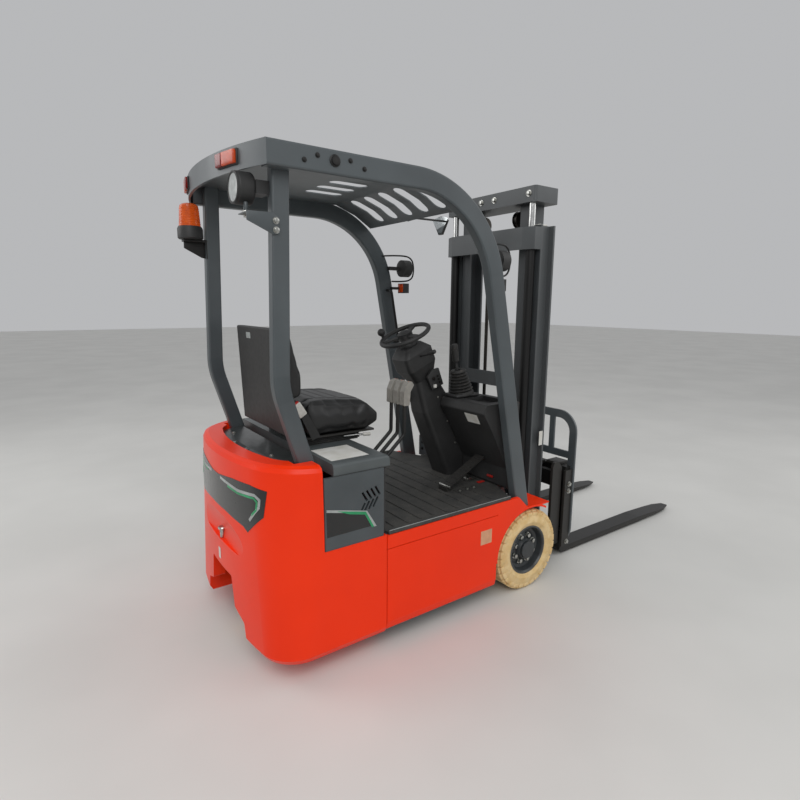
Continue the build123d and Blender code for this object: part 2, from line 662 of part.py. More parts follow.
def lift_barrel():
    barrel = rod_z(CYL_X, -CYL_Y, (110, CYL_TOP - 20), CYL_R)
    cap = rod_z(CYL_X, -CYL_Y, (CYL_TOP - 20, CYL_TOP), CYL_R + 1)
    bore = rod_z(CYL_X, -CYL_Y, (300, CYL_TOP + 1), ROD_R + RUN)
    return barrel + cap - bore


def lift_rod():
    return rod_z(CYL_X, -CYL_Y, (320, INNER_Z[1]), ROD_R)


def inner_mast():
    rails = both(c_rail(INNER_Y, INNER_Z))
    z1 = INNER_Z[1]
    beam = block(BEAM_X, (-OUTER_Y[1], OUTER_Y[1]), (z1, z1 + BEAM_H))
    beam = fillet(beam.edges().filter_by(Axis.Z), 14)
    beam_x = (RAIL_X[0], RAIL_X[0] + FLANGE)
    low = block(beam_x, (-INNER_Y[1], INNER_Y[1]), (130, 230))
    mid = block(beam_x, (-INNER_Y[1], INNER_Y[1]), (1000, 1080))
    hanger = block((RAIL_X[0] + 40, RAIL_X[0] + 68), (-CHAIN_Y - 16 - 8, -CHAIN_Y - 16), (z1 - 100, z1))
    axle = rod_y(RAIL_X[0] + 54, (-CHAIN_Y - 16, -CHAIN_Y + 16), z1 - 60, 12)
    return rails + beam + low + mid + both(hanger + axle)


def chain_pulley():
    wheel = rod_y(RAIL_X[0] + 54, (-CHAIN_Y - 14, -CHAIN_Y + 14), INNER_Z[1] - 60, PULLEY_R)
    groove = rod_y(RAIL_X[0] + 54, (-CHAIN_Y - 11, -CHAIN_Y + 11), INNER_Z[1] - 60, PULLEY_R - 6)
    rims = wheel - rod_y(RAIL_X[0] + 54, (-CHAIN_Y - 11, -CHAIN_Y + 11), INNER_Z[1] - 60, PULLEY_R + 1)
    return rims + groove - rod_y(RAIL_X[0] + 54, (-CHAIN_Y - 20, -CHAIN_Y + 20), INNER_Z[1] - 60, 12 + RUN)


def lift_chain():
    """Front run of the chain, from the pulley down to the carriage."""
    x = RAIL_X[0] + 54 + PULLEY_R - 6 + RUN
    return block((x, x + CHAIN_T), (-CHAIN_Y - CHAIN_W / 2, -CHAIN_Y + CHAIN_W / 2), (420, INNER_Z[1] - 60))


# Carriage


def carriage():
    z0, z1 = CARRIAGE_Z
    plate = block((RAIL_X[0] + 20, BAR_X[0]), (-INNER_Y[0] + 8, -INNER_Y[0] + 26), (z0, z1))
    upper = block(BAR_X, (-BAR_HALF, BAR_HALF), UPPER_BAR)
    lower = block(BAR_X, (-BAR_HALF, BAR_HALF), LOWER_BAR)
    x = (RAIL_X[0] + RAIL_X[1]) / 2
    y = (-INNER_Y[1] + WEB + 4, -INNER_Y[0] + 9)
    rollers = rod_y(x, y, z0 + 50, ROLLER_R) + rod_y(x, y, z1 - 50, ROLLER_R)
    tie = block((BAR_X[0] - 12, BAR_X[0]), (-INNER_Y[0] + 8, INNER_Y[0] - 8), (UPPER_BAR[0] - 40, UPPER_BAR[0] + 20))
    web = block((BAR_X[0], BAR_X[1]), (-INNER_Y[0] + 8, -INNER_Y[0] + 30), (LOWER_BAR[1], UPPER_BAR[0]))
    end = prism_y([(BAR_X[0] - 22, z0 - 40), (BAR_X[1] + 24, z0 - 40), (BAR_X[1] + 24, UPPER_BAR[1] + 20),
                   (BAR_X[1] - 6, UPPER_BAR[1] + 55), (BAR_X[0] - 10, UPPER_BAR[1] + 55), (BAR_X[0] - 22, UPPER_BAR[1] + 30)],
                  (-BAR_HALF - SIDE_PLATE_T, -BAR_HALF))
    return both(plate + rollers + web + end) + upper + lower + tie


def shifter_frame():
    """Side shifter: two bars, end plates and the claws that ride on the carriage."""
    upper = block(SHIFT_X, (-SHIFT_HALF, SHIFT_HALF), (470, 560))
    lower = block(SHIFT_X, (-SHIFT_HALF, SHIFT_HALF), (92, 172))
    end = block((SHIFT_X[0] - 20, SHIFT_X[1]), (-SHIFT_HALF - SIDE_PLATE_T, -SHIFT_HALF), (88, 545))
    top = UPPER_BAR[1] + RUN
    claw = block((BAR_X[0] - 20, SHIFT_X[0]), (-250, -150), (top, top + 22))
    claw = claw + block((BAR_X[0] - 20, BAR_X[0] - RUN), (-250, -150), (top - 28, top + 1))
    foot = block((BAR_X[1] + RUN, SHIFT_X[0]), (-250, -150), (LOWER_BAR[0], LOWER_BAR[0] + 60))
    return upper + lower + both(end + claw + foot)


def fork():
    x0 = SHIFT_X[1] + SHANK_GAP
    x1 = x0 + FORK_T
    z0 = FORK_LOW
    taper = FORK_TIP - 420
    profile = [(x0, z0 + 22), (x0 + 22, z0), (taper, z0), (FORK_TIP, z0 + 10), (FORK_TIP, z0 + 18), (taper, z0 + FORK_T),
               (x1 + 20, z0 + FORK_T), (x1, z0 + FORK_T + 20), (x1, SHANK_TOP), (x0, SHANK_TOP)]
    body = prism_y(profile, (-FORK_Y - FORK_W / 2, -FORK_Y + FORK_W / 2))
    tip_cut = block((FORK_TIP - 200, FORK_TIP + 1), (-FORK_Y - 60, -FORK_Y + 60), (0, 100))
    nose = prism_z([(FORK_TIP - 201, -FORK_Y - 50), (FORK_TIP - 90, -FORK_Y - 46), (FORK_TIP, -FORK_Y - 22),
                    (FORK_TIP, -FORK_Y + 22), (FORK_TIP - 90, -FORK_Y + 46), (FORK_TIP - 201, -FORK_Y + 50)], (0, 100), 6)
    body = body - (tip_cut - nose)
    hook = block((SHIFT_X[0] - 12, x0 + 1), (-FORK_Y - 40, -FORK_Y + 40), (SHANK_TOP + 2, SHANK_TOP + 16))
    hook = hook + block((x0, x1), (-FORK_Y - 40, -FORK_Y + 40), (SHANK_TOP - 1, SHANK_TOP + 16))
    low_hook = block((SHIFT_X[1], x0 + 1), (-FORK_Y - 40, -FORK_Y + 40), (100, 150))
    top_pad = block((SHIFT_X[1], x0 + 1), (-FORK_Y - 40, -FORK_Y + 40), (490, 540))
    return body + hook + low_hook + top_pad


def backrest():
    """Load backrest: a bent flat-bar frame with upright bars."""
    t, w = BACKREST_BAR
    x = (SHIFT_X[1], SHIFT_X[1] + t)
    half = BACKREST_HALF
    outer = RectangleRounded(2 * half, 2 * 400, 120)
    inner = RectangleRounded(2 * (half - w), 2 * (400 - w), 120 - w)
    plane = Plane(origin=(x[0], 0, BACKREST_TOP - 400), x_dir=(0, 1, 0), z_dir=(1, 0, 0))
    frame = extrude(plane * (outer - inner), amount=t)
    frame = frame & block((x[0] - 1, x[1] + 1), (-half - 1, half + 1), (100, BACKREST_TOP + 1))
    frame = frame - block((x[0] - 1, x[1] + 1), (-half + w, half - w), (0, 600))
    bar = block(x, (-half + w - 1, half - w + 1), (600, 640))
    frame = frame + bar
    for index in range(4):
        y = -255 + index * 170
        frame = frame + block(x, (y - 17, y + 17), (639, BACKREST_TOP - w + 1))
    return frame


# Tilt cylinders


def tilt_angle():
    return math.degrees(math.atan2(TILT_EYE_Z - TILT_PIN_Z, TILT_EYE_X - 40 - TILT_PIN_X))


def tilt_place():
    return Pos(TILT_PIN_X, -TILT_Y, TILT_PIN_Z) * Rot(0, -tilt_angle(), 0)


def tilt_barrel():
    eye = Rot(90, 0, 0) * Cylinder(EYE_R, EYE_W)
    body = Pos(14 + TILT_BARREL / 2, 0, 0) * Rot(0, 90, 0) * Cylinder(TILT_R, TILT_BARREL)
    bore = Pos(60 + TILT_BARREL / 2, 0, 0) * Rot(0, 90, 0) * Cylinder(TILT_ROD_R + RUN, TILT_BARREL + 20)
    hole = Rot(90, 0, 0) * Cylinder(EYE_PIN_R + RUN, EYE_W + 2)
    return tilt_place() * (eye + body - bore - hole)


def tilt_rod():
    length = math.hypot(TILT_EYE_X - 40 - TILT_PIN_X, TILT_EYE_Z - TILT_PIN_Z)
    start = 110
    rod = Pos((start + length - 18) / 2, 0, 0) * Rot(0, 90, 0) * Cylinder(TILT_ROD_R, length - 18 - start)
    eye = Pos(length, 0, 0) * Rot(90, 0, 0) * Cylinder(EYE_R, EYE_W)
    hole = Pos(length, 0, 0) * Rot(90, 0, 0) * Cylinder(EYE_PIN_R + 1.5, EYE_W + 2)
    return tilt_place() * (rod + eye - hole)


# Controls


def column_frame():
    """Local frame of the steering column: z along the column, origin at its foot."""
    dx = WHEEL_HUB[0] - COLUMN_FOOT[0]
    dz = WHEEL_HUB[1] - COLUMN_FOOT[1]
    return Plane(origin=(COLUMN_FOOT[0], 0, COLUMN_FOOT[1]), x_dir=(0, 1, 0), z_dir=(dx, 0, dz)), math.hypot(dx, dz)


def steering_column():
    plane, length = column_frame()
    shape = ((-85, 160, 206), (0.5 * length, 140, 186), (0.7 * length, 112, 124), (0.79 * length, 148, 184),
             (0.88 * length, 148, 184), (0.93 * length, 110, 112))
    rings = [plane * Pos(0, 0, at) * RectangleRounded(wide, deep, 26) for at, wide, deep in shape]
    body = loft(rings[:2], ruled=True)
    for lower, upper in zip(rings[1:-1], rings[2:]):
        body = body + loft([lower, upper], ruled=True)
    neck = plane * Pos(0, 0, length - 40 - RUN) * Cylinder(24, 40)
    body = body + neck
    body = body - block((-400, 200), (-200, 200), (0, MAT_TOP + RUN))
    return body - block((BULKHEAD_X[0] - RUN, 200), (-200, 200), (0, BULKHEAD_TOP + 40))


def steering_wheel():
    plane, length = column_frame()
    hub = Plane(origin=(WHEEL_HUB[0], 0, WHEEL_HUB[1]), x_dir=(0, 1, 0), z_dir=plane.z_dir)
    reach = HAND_WHEEL_R - HAND_WHEEL_TUBE
    ring = revolve(Plane.XZ * Pos(reach, 0) * Circle(HAND_WHEEL_TUBE), axis=Axis.Z)
    boss = Pos(0, 0, -6) * Cylinder(40, 28)
    wheel = ring + boss
    for index in range(3):
        spoke = Rot(0, 0, 90 + index * 120) * Pos(0, (HAND_WHEEL_R - 16) / 2, -2) * Box(30, HAND_WHEEL_R - 20, 9)
        wheel = wheel + spoke
    place = Pos(reach * math.cos(math.radians(29)), reach * math.sin(math.radians(29)), 0)
    knob = place * (Pos(0, 0, 12) * Cylinder(8, 26) + Pos(0, 0, 38) * Sphere(20))
    return hub * (wheel + knob)


def cowl():
    """Moulded box beside the steering column."""
    front = BULKHEAD_X[0] - RUN
    foot = MAT_TOP + RUN
    profile = [(-250, 985), (front, 985), (front, foot), (-90, foot), (-90, 640), (-205, 850), (-262, 940)]
    body = prism_y(profile, (-415, -85), 14)
    tray = block((-200, -60), (-370, -200), (960, 990))
    return body - tray


def hand_brake():
    boot = Pos(-150, -140, 985 + RUN + 40) * Cone(46, 26, 80)
    lever = round_rod([(-165, -140, 1040), (-200, -140, 1120), (-212, -140, 1180)], 60, 7)
    grip = Pos(-216, -140, 1215) * Rot(0, -8, 0) * Cylinder(14, 90)
    return boot + lever + grip


def hydraulic_levers():
    """Three bent rods that rise from the hood's front wall."""
    levers = None
    for y in LEVER_Y:
        foot = COVER_X[1] + 17 + 2 * RUN
        rod = round_rod([(foot, y, 800), (foot + 44, y, 800), (LEVER_TOP[0] - 2, y, LEVER_TOP[1] - 130),
                         (LEVER_TOP[0], y, LEVER_TOP[1])], 24, LEVER_R)
        levers = rod if levers is None else levers + rod
    return levers


def lever_grips():
    grips = None
    for y in LEVER_Y:
        x, z = LEVER_TOP
        grip = prism_y([(x - 15, z + RUN), (x + 15, z + RUN), (x + 20, z + 60), (x + 38, z + 88), (x + 26, z + 104),
                        (x + 2, z + 96), (x - 14, z + 60)], (y - 16, y + 16), 5)
        grips = grip if grips is None else grips + grip
    return grips


def pedals():
    plate = Pos(-235, -245, 612) * Rot(0, -27, 0) * Box(270, 62, 8)
    heel = block((-370, -340), (-276, -214), (MAT_TOP + RUN, 556))
    return plate + heel


# Lamps and small gear


def rear_lamp():
    """Long lamp that follows the curve of the rear beam."""
    half = GUARD_Y + GUARD_W / 2
    sagitta = RAIL_REAR - REAR_X + 2
    radius = (half ** 2 + sagitta ** 2) / (2 * sagitta)
    middle = REAR_X - 2 + radius
    z = (GUARD_TOP - 66, GUARD_TOP - 12)
    shell = rod_z(middle, 0, z, radius + 16) - rod_z(middle, 0, z, radius + RUN)
    return shell & block((REAR_X, RAIL_REAR), (-330, -200), z)


def pillar_rear(z):
    """Rear face of the rear pillars at a height above their bend."""
    share = (z - PILLAR_MID[1]) / (GUARD_TOP + 20 - PILLAR_MID[1])
    return PILLAR_MID[0] + share * (PILLAR_TOP_X - PILLAR_MID[0]) - PILLAR[0] / 2


def work_lamp_rear():
    z = GUARD_TOP - 143
    x = SEAM_X - 481
    lamp = Pos(x, -330, z) * Rot(0, 90, 0) * Cylinder(55, 60)
    lamp = fillet(lamp.edges().filter_by(GeomType.CIRCLE), 8)
    arm = block((x + 25, pillar_rear(z - 22) - RUN), (-395, -325), (z - 22, z + 22))
    return lamp + arm


def beacon():
    x = SEAM_X - 477
    z = GUARD_TOP - 260
    base = rod_z(x, 385, (z + 12, z + 67), 55)
    dome = rod_z(x, 385, (z + 67, z + 170), 47)
    dome = fillet(dome.edges().group_by(Axis.Z)[-1], 22)
    bracket = block((x - 34, pillar_rear(z) - RUN), (378, 410), (z, z + 13))
    return base + dome + bracket


def front_lamp():
    """Head lamp and turn signal on arms from the inner side of the right front leg."""
    z = GUARD_TOP - 328
    low_z = z - 112
    lamp = Pos(-165, -385, z) * Rot(0, 90, 0) * Cylinder(48, 50)
    arm = block((-262, -188), (-leg_face(z) + 2 * RUN, -400), (z - 10, z + 10))
    turn = block((-190, -150), (-415, -360), (low_z - 28, low_z + 27))
    turn_arm = block((-240, -189), (-leg_face(low_z) + 2 * RUN, -400), (low_z - 8, low_z + 7))
    return lamp + arm + turn + turn_arm


def leg_face(z):
    """Inner face of a front leg of the guard."""
    return leg_at(z)[1] - GUARD_W / 2


def mirror_glass():
    """Fan-shaped mirror on a bent rod from the roof's front edge."""
    rod_z0 = GUARD_TOP - ROOF_DROP - ROOF_NOSE + 3
    arm = round_rod([(ROOF_FRONT + 1, 60, rod_z0), (-330, 60, rod_z0 + 16), (-148, 72, rod_z0 + 20)], 40, 5)
    shell = Pos(-150, 75, GUARD_TOP - 148) * Rot(0, 90, 0) * Cylinder(76, 12)
    fan = prism_x([(75 - 14, GUARD_TOP - 165), (75 + 14, GUARD_TOP - 165), (75 + 80, GUARD_TOP - 60), (75 - 80, GUARD_TOP - 60)],
                  (-170, -130))
    return arm + (shell & fan)


def leg_at(z):
    """Middle of a front leg of the guard, below its bend."""
    share = (z - FENDER_Z) / (GUARD_TOP - GUARD_H / 2 - FENDER_Z)
    return FOOT_X + share * (KNEE_X - FOOT_X), FOOT_Y + share * (GUARD_Y - FOOT_Y)


def grab_handle():
    """Rod on the inner side of the left front leg."""
    top_x, top_y = leg_at(HANDLE_Z[1])
    low_x, low_y = leg_at(HANDLE_Z[0])
    inner = GUARD_W / 2 + 2 * RUN
    points = [(top_x, top_y - inner, HANDLE_Z[1]), (top_x, top_y - inner - HANDLE_OUT, HANDLE_Z[1]),
              (low_x, low_y - inner - HANDLE_OUT, HANDLE_Z[0]), (low_x, low_y - inner, HANDLE_Z[0])]
    return round_rod(points, 18, 7)


def build():
    keep("chassis_frame", chassis_frame())
    keep("battery", battery_block())
    keep_pair("side_panel", side_panel())
    keep_pair("fender", fender())
    keep("floor_plate", floor_plate())
    keep("floor_mat", floor_mat())
    keep("counterweight", counterweight())
    keep("rear_cover", rear_cover())
    keep_pair("side_cover", side_cover())
    keep("hood_front", hood_front())
    keep("drive_housing", drive_housing())
    keep("drive_motor", drive_motor())
    keep("turntable", turntable())
    keep("drive_tyre", drive_wheel())
    keep("drive_rim", drive_rim())
    keep_pair("tyre", tyre())
    keep_pair("rim", rim() + hub_cap())
    keep("hood_lid", hood_lid())
    keep("seat_base", seat_base())
    keep("seat_cushion", seat_cushion())
    keep("seat_back", seat_back())
    keep("back_cushion", back_cushion())
    keep_pair("guard_rail", guard_rail())
    keep("rear_pillars", both(rear_pillar()))
    keep("rear_beam", rear_beam())
    keep("roof_panel", roof_panel())
    keep("outer_mast", outer_mast())
    keep("lift_barrels", both(lift_barrel()))
    keep("lift_rods", both(lift_rod()))
    keep("inner_mast", inner_mast())
    keep("chain_pulleys", both(chain_pulley()))
    keep("lift_chains", both(lift_chain()))
    keep("carriage", carriage())
    keep("shifter_frame", shifter_frame())
    keep_pair("fork", fork())
    keep("backrest", backrest())
    keep("tilt_barrels", both(tilt_barrel()))
    keep("tilt_rods", both(tilt_rod()))
    keep("steering_column", steering_column())
    keep("steering_wheel", steering_wheel())
    keep("cowl", cowl())
    keep("hand_brake", hand_brake())
    keep("hydraulic_levers", hydraulic_levers())
    keep("lever_grips", lever_grips())
    keep("pedals", pedals())
    keep("rear_lamps", both(rear_lamp()))
    keep("work_lamp_rear", work_lamp_rear())
    keep("beacon", beacon())
    keep("front_lamps", both(front_lamp()))
    keep("mirror", mirror_glass())
    keep("grab_handle", grab_handle())


def export():
    os.makedirs("parts", exist_ok=True)
    for name, shape in parts.items():
        solids = shape.solids()
        body = solids[0] if len(solids) == 1 else Compound(children=list(solids))
        export_step(Pos(SHIFT_ORIGIN, 0, 0) * body, os.path.join("parts", name + ".step"))
        print(name, len(solids), round(shape.volume / 1e6, 3))


build()
export()
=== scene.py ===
"""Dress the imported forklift: finishes, soft seat, tread, chains, lamps, labels, studio and camera.

Metres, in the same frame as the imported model: +X to the forks, +Y to the left, +Z up.
"""

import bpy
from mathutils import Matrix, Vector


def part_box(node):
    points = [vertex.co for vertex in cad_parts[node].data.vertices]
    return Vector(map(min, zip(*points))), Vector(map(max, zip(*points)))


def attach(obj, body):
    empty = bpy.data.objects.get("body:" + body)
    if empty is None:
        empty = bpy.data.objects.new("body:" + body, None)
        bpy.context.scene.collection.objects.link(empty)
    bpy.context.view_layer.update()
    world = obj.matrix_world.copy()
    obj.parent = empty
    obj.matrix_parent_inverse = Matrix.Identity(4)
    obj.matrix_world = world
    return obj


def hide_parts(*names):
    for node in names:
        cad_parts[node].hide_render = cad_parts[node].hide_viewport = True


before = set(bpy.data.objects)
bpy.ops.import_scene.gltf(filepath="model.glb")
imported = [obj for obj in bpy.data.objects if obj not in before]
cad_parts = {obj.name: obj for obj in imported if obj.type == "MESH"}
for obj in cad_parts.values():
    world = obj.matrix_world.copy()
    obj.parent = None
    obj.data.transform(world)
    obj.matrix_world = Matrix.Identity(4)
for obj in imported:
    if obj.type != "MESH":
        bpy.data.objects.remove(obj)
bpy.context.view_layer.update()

import logging
import math
from dataclasses import dataclass
from enum import Enum

import bpy
from mathutils import Euler, Matrix, Vector

LOG = logging.getLogger("forklift")
AXLE_X = -0.1425             # front axle in the row frame
Point = tuple[float, float, float]
Flat = tuple[float, float]
Look = tuple[str, str]       # a finish and a slot of the record
Object, Socket = bpy.types.Object, bpy.types.NodeSocket
SIDES = (-1, 1)              # right, left
UP, DOWN = (0, 0, 1), (0, 0, -1)
AHEAD, BACK = (1, 0, 0), (-1, 0, 0)
FLOOR_Z = 0.5335             # just above the mat
CORE = 0.0005                # radius at which a turned outline closes

BOLTS = ("zinc_bolt_steel", "bright_rod")
DARK = ("dark_textured_plastic", "black_plastic")
BLANK = ("blank_white_label", "grey_plastic")
SILVER = ("silver_stripe_film", "grey_plastic")
GREEN = ("green_stripe_film", "grey_plastic")
BADGE = ("black_badge_film", "black_plastic")
BLACK = ("black_steel_paint", "black_metal")
RUBBER = ("ribbed_floor_rubber", "mat_rubber")
BELLOWS = ("black_bellows_rubber", "mat_rubber")
VINYL = ("black_seat_vinyl", "seat_vinyl")
PALE = ("pale_buckle_plastic", "grey_plastic")
CHAIN = ("oiled_chain_steel", "chain_steel")
ORANGE = ("orange_lens", "beacon_amber")
GLASS = ("clear_lamp_glass", "bright_rod")


class Surface(Enum):
    """How the small relief of a finish is made."""

    PAINT = "paint"
    MOULDED = "moulded"
    CAST = "cast"
    RUBBER = "rubber"
    VINYL = "vinyl"
    BRUSHED = "brushed"
    LENS = "lens"
    LABEL = "label"
    FLOOR = "floor"


@dataclass(frozen=True)
class Finish:
    """One real material: its colours as sRGB hex, then its roughness, then its patterns in millimetres."""

    name: str
    colour: str
    second: str
    surface: Surface
    roughness: float
    mottle_mm: float
    grain_mm: float
    relief_mm: float
    metallic: float = 0.0
    coat: float = 0.0
    wear: str = ""
    wear_share: float = 0.0
    transmission: float = 0.0
    glow: float = 0.0
    specular: float = 0.5


TABLE = (
    Finish("red_body_paint", "#FC3604", "#F53203", Surface.PAINT, 0.32, 420, 2.4, 0.018, coat=0.06, specular=0.22),
    Finish("grey_frame_paint", "#4A5154", "#42484B", Surface.PAINT, 0.42, 260, 1.6, 0.022, coat=0.12, wear="#6A6F71",
           wear_share=0.35),
    Finish("grey_mast_paint", "#3F4345", "#36393B", Surface.PAINT, 0.46, 300, 1.6, 0.03, coat=0.05, wear="#686B6C",
           wear_share=0.4),
    Finish("black_steel_paint", "#121212", "#0E0E0E", Surface.PAINT, 0.45, 160, 1.4, 0.03, coat=0.04, wear="#4A4845",
           wear_share=0.35, specular=0.35),
    Finish("dark_textured_plastic", "#2C2C2C", "#252525", Surface.MOULDED, 0.56, 90, 0.9, 0.05, wear="#3C3C3C",
           wear_share=0.25),
    Finish("grey_cover_plastic", "#474D50", "#3E4447", Surface.MOULDED, 0.5, 160, 0.8, 0.035, wear="#5C6264",
           wear_share=0.3),
    Finish("ribbed_floor_rubber", "#343433", "#42413E", Surface.RUBBER, 0.72, 70, 1.1, 0.06),
    Finish("black_bellows_rubber", "#1E1E1D", "#262524", Surface.RUBBER, 0.62, 40, 1.0, 0.04),
    Finish("hood_grey_plastic", "#505657", "#474D4E", Surface.MOULDED, 0.42, 160, 1.0, 0.04, coat=0.1, wear="#6B7071",
           wear_share=0.3),
    Finish("satin_cover_plastic", "#353838", "#2D3030", Surface.MOULDED, 0.36, 140, 1.2, 0.03, coat=0.2),
    Finish("cream_tyre_rubber", "#E9CE9B", "#D9B87E", Surface.RUBBER, 0.7, 45, 1.5, 0.08, wear="#C9A873",
           wear_share=0.2),
    Finish("black_seat_vinyl", "#1D1D1D", "#242424", Surface.VINYL, 0.44, 60, 1.6, 0.07),
    Finish("seat_shell_plastic", "#262625", "#201F1F", Surface.MOULDED, 0.5, 80, 1.0, 0.05),
    Finish("cast_iron_paint", "#2B2C2D", "#222324", Surface.CAST, 0.5, 60, 3.0, 0.16, wear="#4A4B4B", wear_share=0.3),
    Finish("rim_enamel", "#34383A", "#2B2E30", Surface.PAINT, 0.4, 60, 1.2, 0.03, coat=0.15, wear="#676A6B",
           wear_share=0.3),
    Finish("zinc_bolt_steel", "#C9C9C4", "#A9A9A4", Surface.BRUSHED, 0.28, 8, 0.5, 0.02, metallic=1.0),
    Finish("polished_rod_steel", "#D2D2D0", "#BDBDBB", Surface.BRUSHED, 0.16, 60, 0.6, 0.006, metallic=1.0),
    Finish("oiled_chain_steel", "#2E2B28", "#1D1B1A", Surface.BRUSHED, 0.38, 14, 0.7, 0.03, metallic=0.75,
           wear="#5D5953", wear_share=0.35),
    Finish("amber_lens", "#E0631C", "#C94F10", Surface.LENS, 0.2, 30, 3.0, 0.05, transmission=0.25, glow=0.08),
    Finish("red_lens", "#8E1208", "#6E0B05", Surface.LENS, 0.2, 24, 3.0, 0.05, transmission=0.2, glow=0.04),
    Finish("orange_lens", "#D24A10", "#B93C0A", Surface.LENS, 0.22, 24, 3.0, 0.05, transmission=0.2, glow=0.06),
    Finish("clear_lamp_glass", "#D9DCDA", "#BFC3C2", Surface.LENS, 0.1, 20, 4.0, 0.04, transmission=0.3),
    Finish("mirror_glass", "#C6CBCB", "#B9BEBF", Surface.LABEL, 0.05, 90, 6.0, 0.002, metallic=1.0),
    Finish("blank_white_label", "#E2E1DC", "#D3D1C9", Surface.LABEL, 0.42, 60, 1.0, 0.01),
    Finish("blank_cream_label", "#D9A27C", "#CC9470", Surface.LABEL, 0.45, 30, 1.0, 0.01),
    Finish("silver_stripe_film", "#B9BEBC", "#A6ABAA", Surface.LABEL, 0.3, 80, 1.0, 0.006, metallic=0.4),
    Finish("green_stripe_film", "#2FA36B", "#258C59", Surface.LABEL, 0.34, 80, 1.0, 0.006),
    Finish("black_badge_film", "#17191A", "#101112", Surface.LABEL, 0.24, 80, 1.0, 0.006, coat=0.3),
    Finish("orange_grip_cap", "#D9582A", "#C74C20", Surface.MOULDED, 0.5, 20, 0.7, 0.03),
    Finish("grey_grip_plastic", "#8E8B84", "#7F7C76", Surface.MOULDED, 0.52, 30, 0.8, 0.04),
    Finish("pale_buckle_plastic", "#C9C7C0", "#BDBBB4", Surface.MOULDED, 0.38, 20, 0.7, 0.02),
    Finish("red_switch_plastic", "#B3221A", "#9C1B14", Surface.MOULDED, 0.4, 12, 0.6, 0.02),
    Finish("pale_studio_floor", "#DCDBD7", "#D5D4D0", Surface.FLOOR, 0.55, 900, 6.0, 0.05),
)
FINISHES = {finish.name: finish for finish in TABLE}

NODE_FINISH = {
    "red_body_paint": ("side_panel_right", "side_panel_left", "fender_right", "fender_left", "counterweight"),
    "grey_frame_paint": ("guard_rail_right", "guard_rail_left", "rear_pillars", "rear_beam", "roof_panel",
                         "chassis_frame", "floor_plate", "turntable", "backrest"),
    "grey_mast_paint": ("outer_mast", "inner_mast"),
    "black_steel_paint": ("lift_barrels", "carriage", "shifter_frame", "fork_right", "fork_left", "tilt_barrels",
                          "seat_base", "hydraulic_levers", "pedals", "drive_motor", "grab_handle", "battery"),
    "hood_grey_plastic": ("hood_lid",),
    "satin_cover_plastic": ("rear_cover",),
    "dark_textured_plastic": ("hood_front", "steering_column", "steering_wheel", "cowl",
                              "work_lamp_rear", "front_lamps", "mirror", "hand_brake"),
    "grey_cover_plastic": ("side_cover_right", "side_cover_left"),
    "ribbed_floor_rubber": ("floor_mat",),
    "cream_tyre_rubber": ("tyre_right", "tyre_left", "drive_tyre"),
    "black_seat_vinyl": ("seat_cushion", "back_cushion"),
    "seat_shell_plastic": ("seat_back",),
    "cast_iron_paint": ("drive_housing", "drive_rim"),
    "rim_enamel": ("rim_right", "rim_left"),
    "polished_rod_steel": ("lift_rods", "tilt_rods"),
    "oiled_chain_steel": ("chain_pulleys", "lift_chains"),
    "amber_lens": ("beacon",),
    "red_lens": ("rear_lamps",),
    "grey_grip_plastic": ("lever_grips",),
}


def side_name(side: int) -> str:
    """Word for a side of the truck."""
    return "left" if side > 0 else "right"


def linear(colour: str) -> tuple[float, float, float, float]:
    """Convert an sRGB hex colour to linear.

    Args:
        colour: The colour as "#RRGGBB".

    Returns:
        Linear red, green, blue and an alpha of one.
    """
    parts = [int(colour[i:i + 2], 16) / 255 for i in (1, 3, 5)]
    return (*(c / 12.92 if c <= 0.04045 else ((c + 0.055) / 1.055) ** 2.4 for c in parts), 1.0)


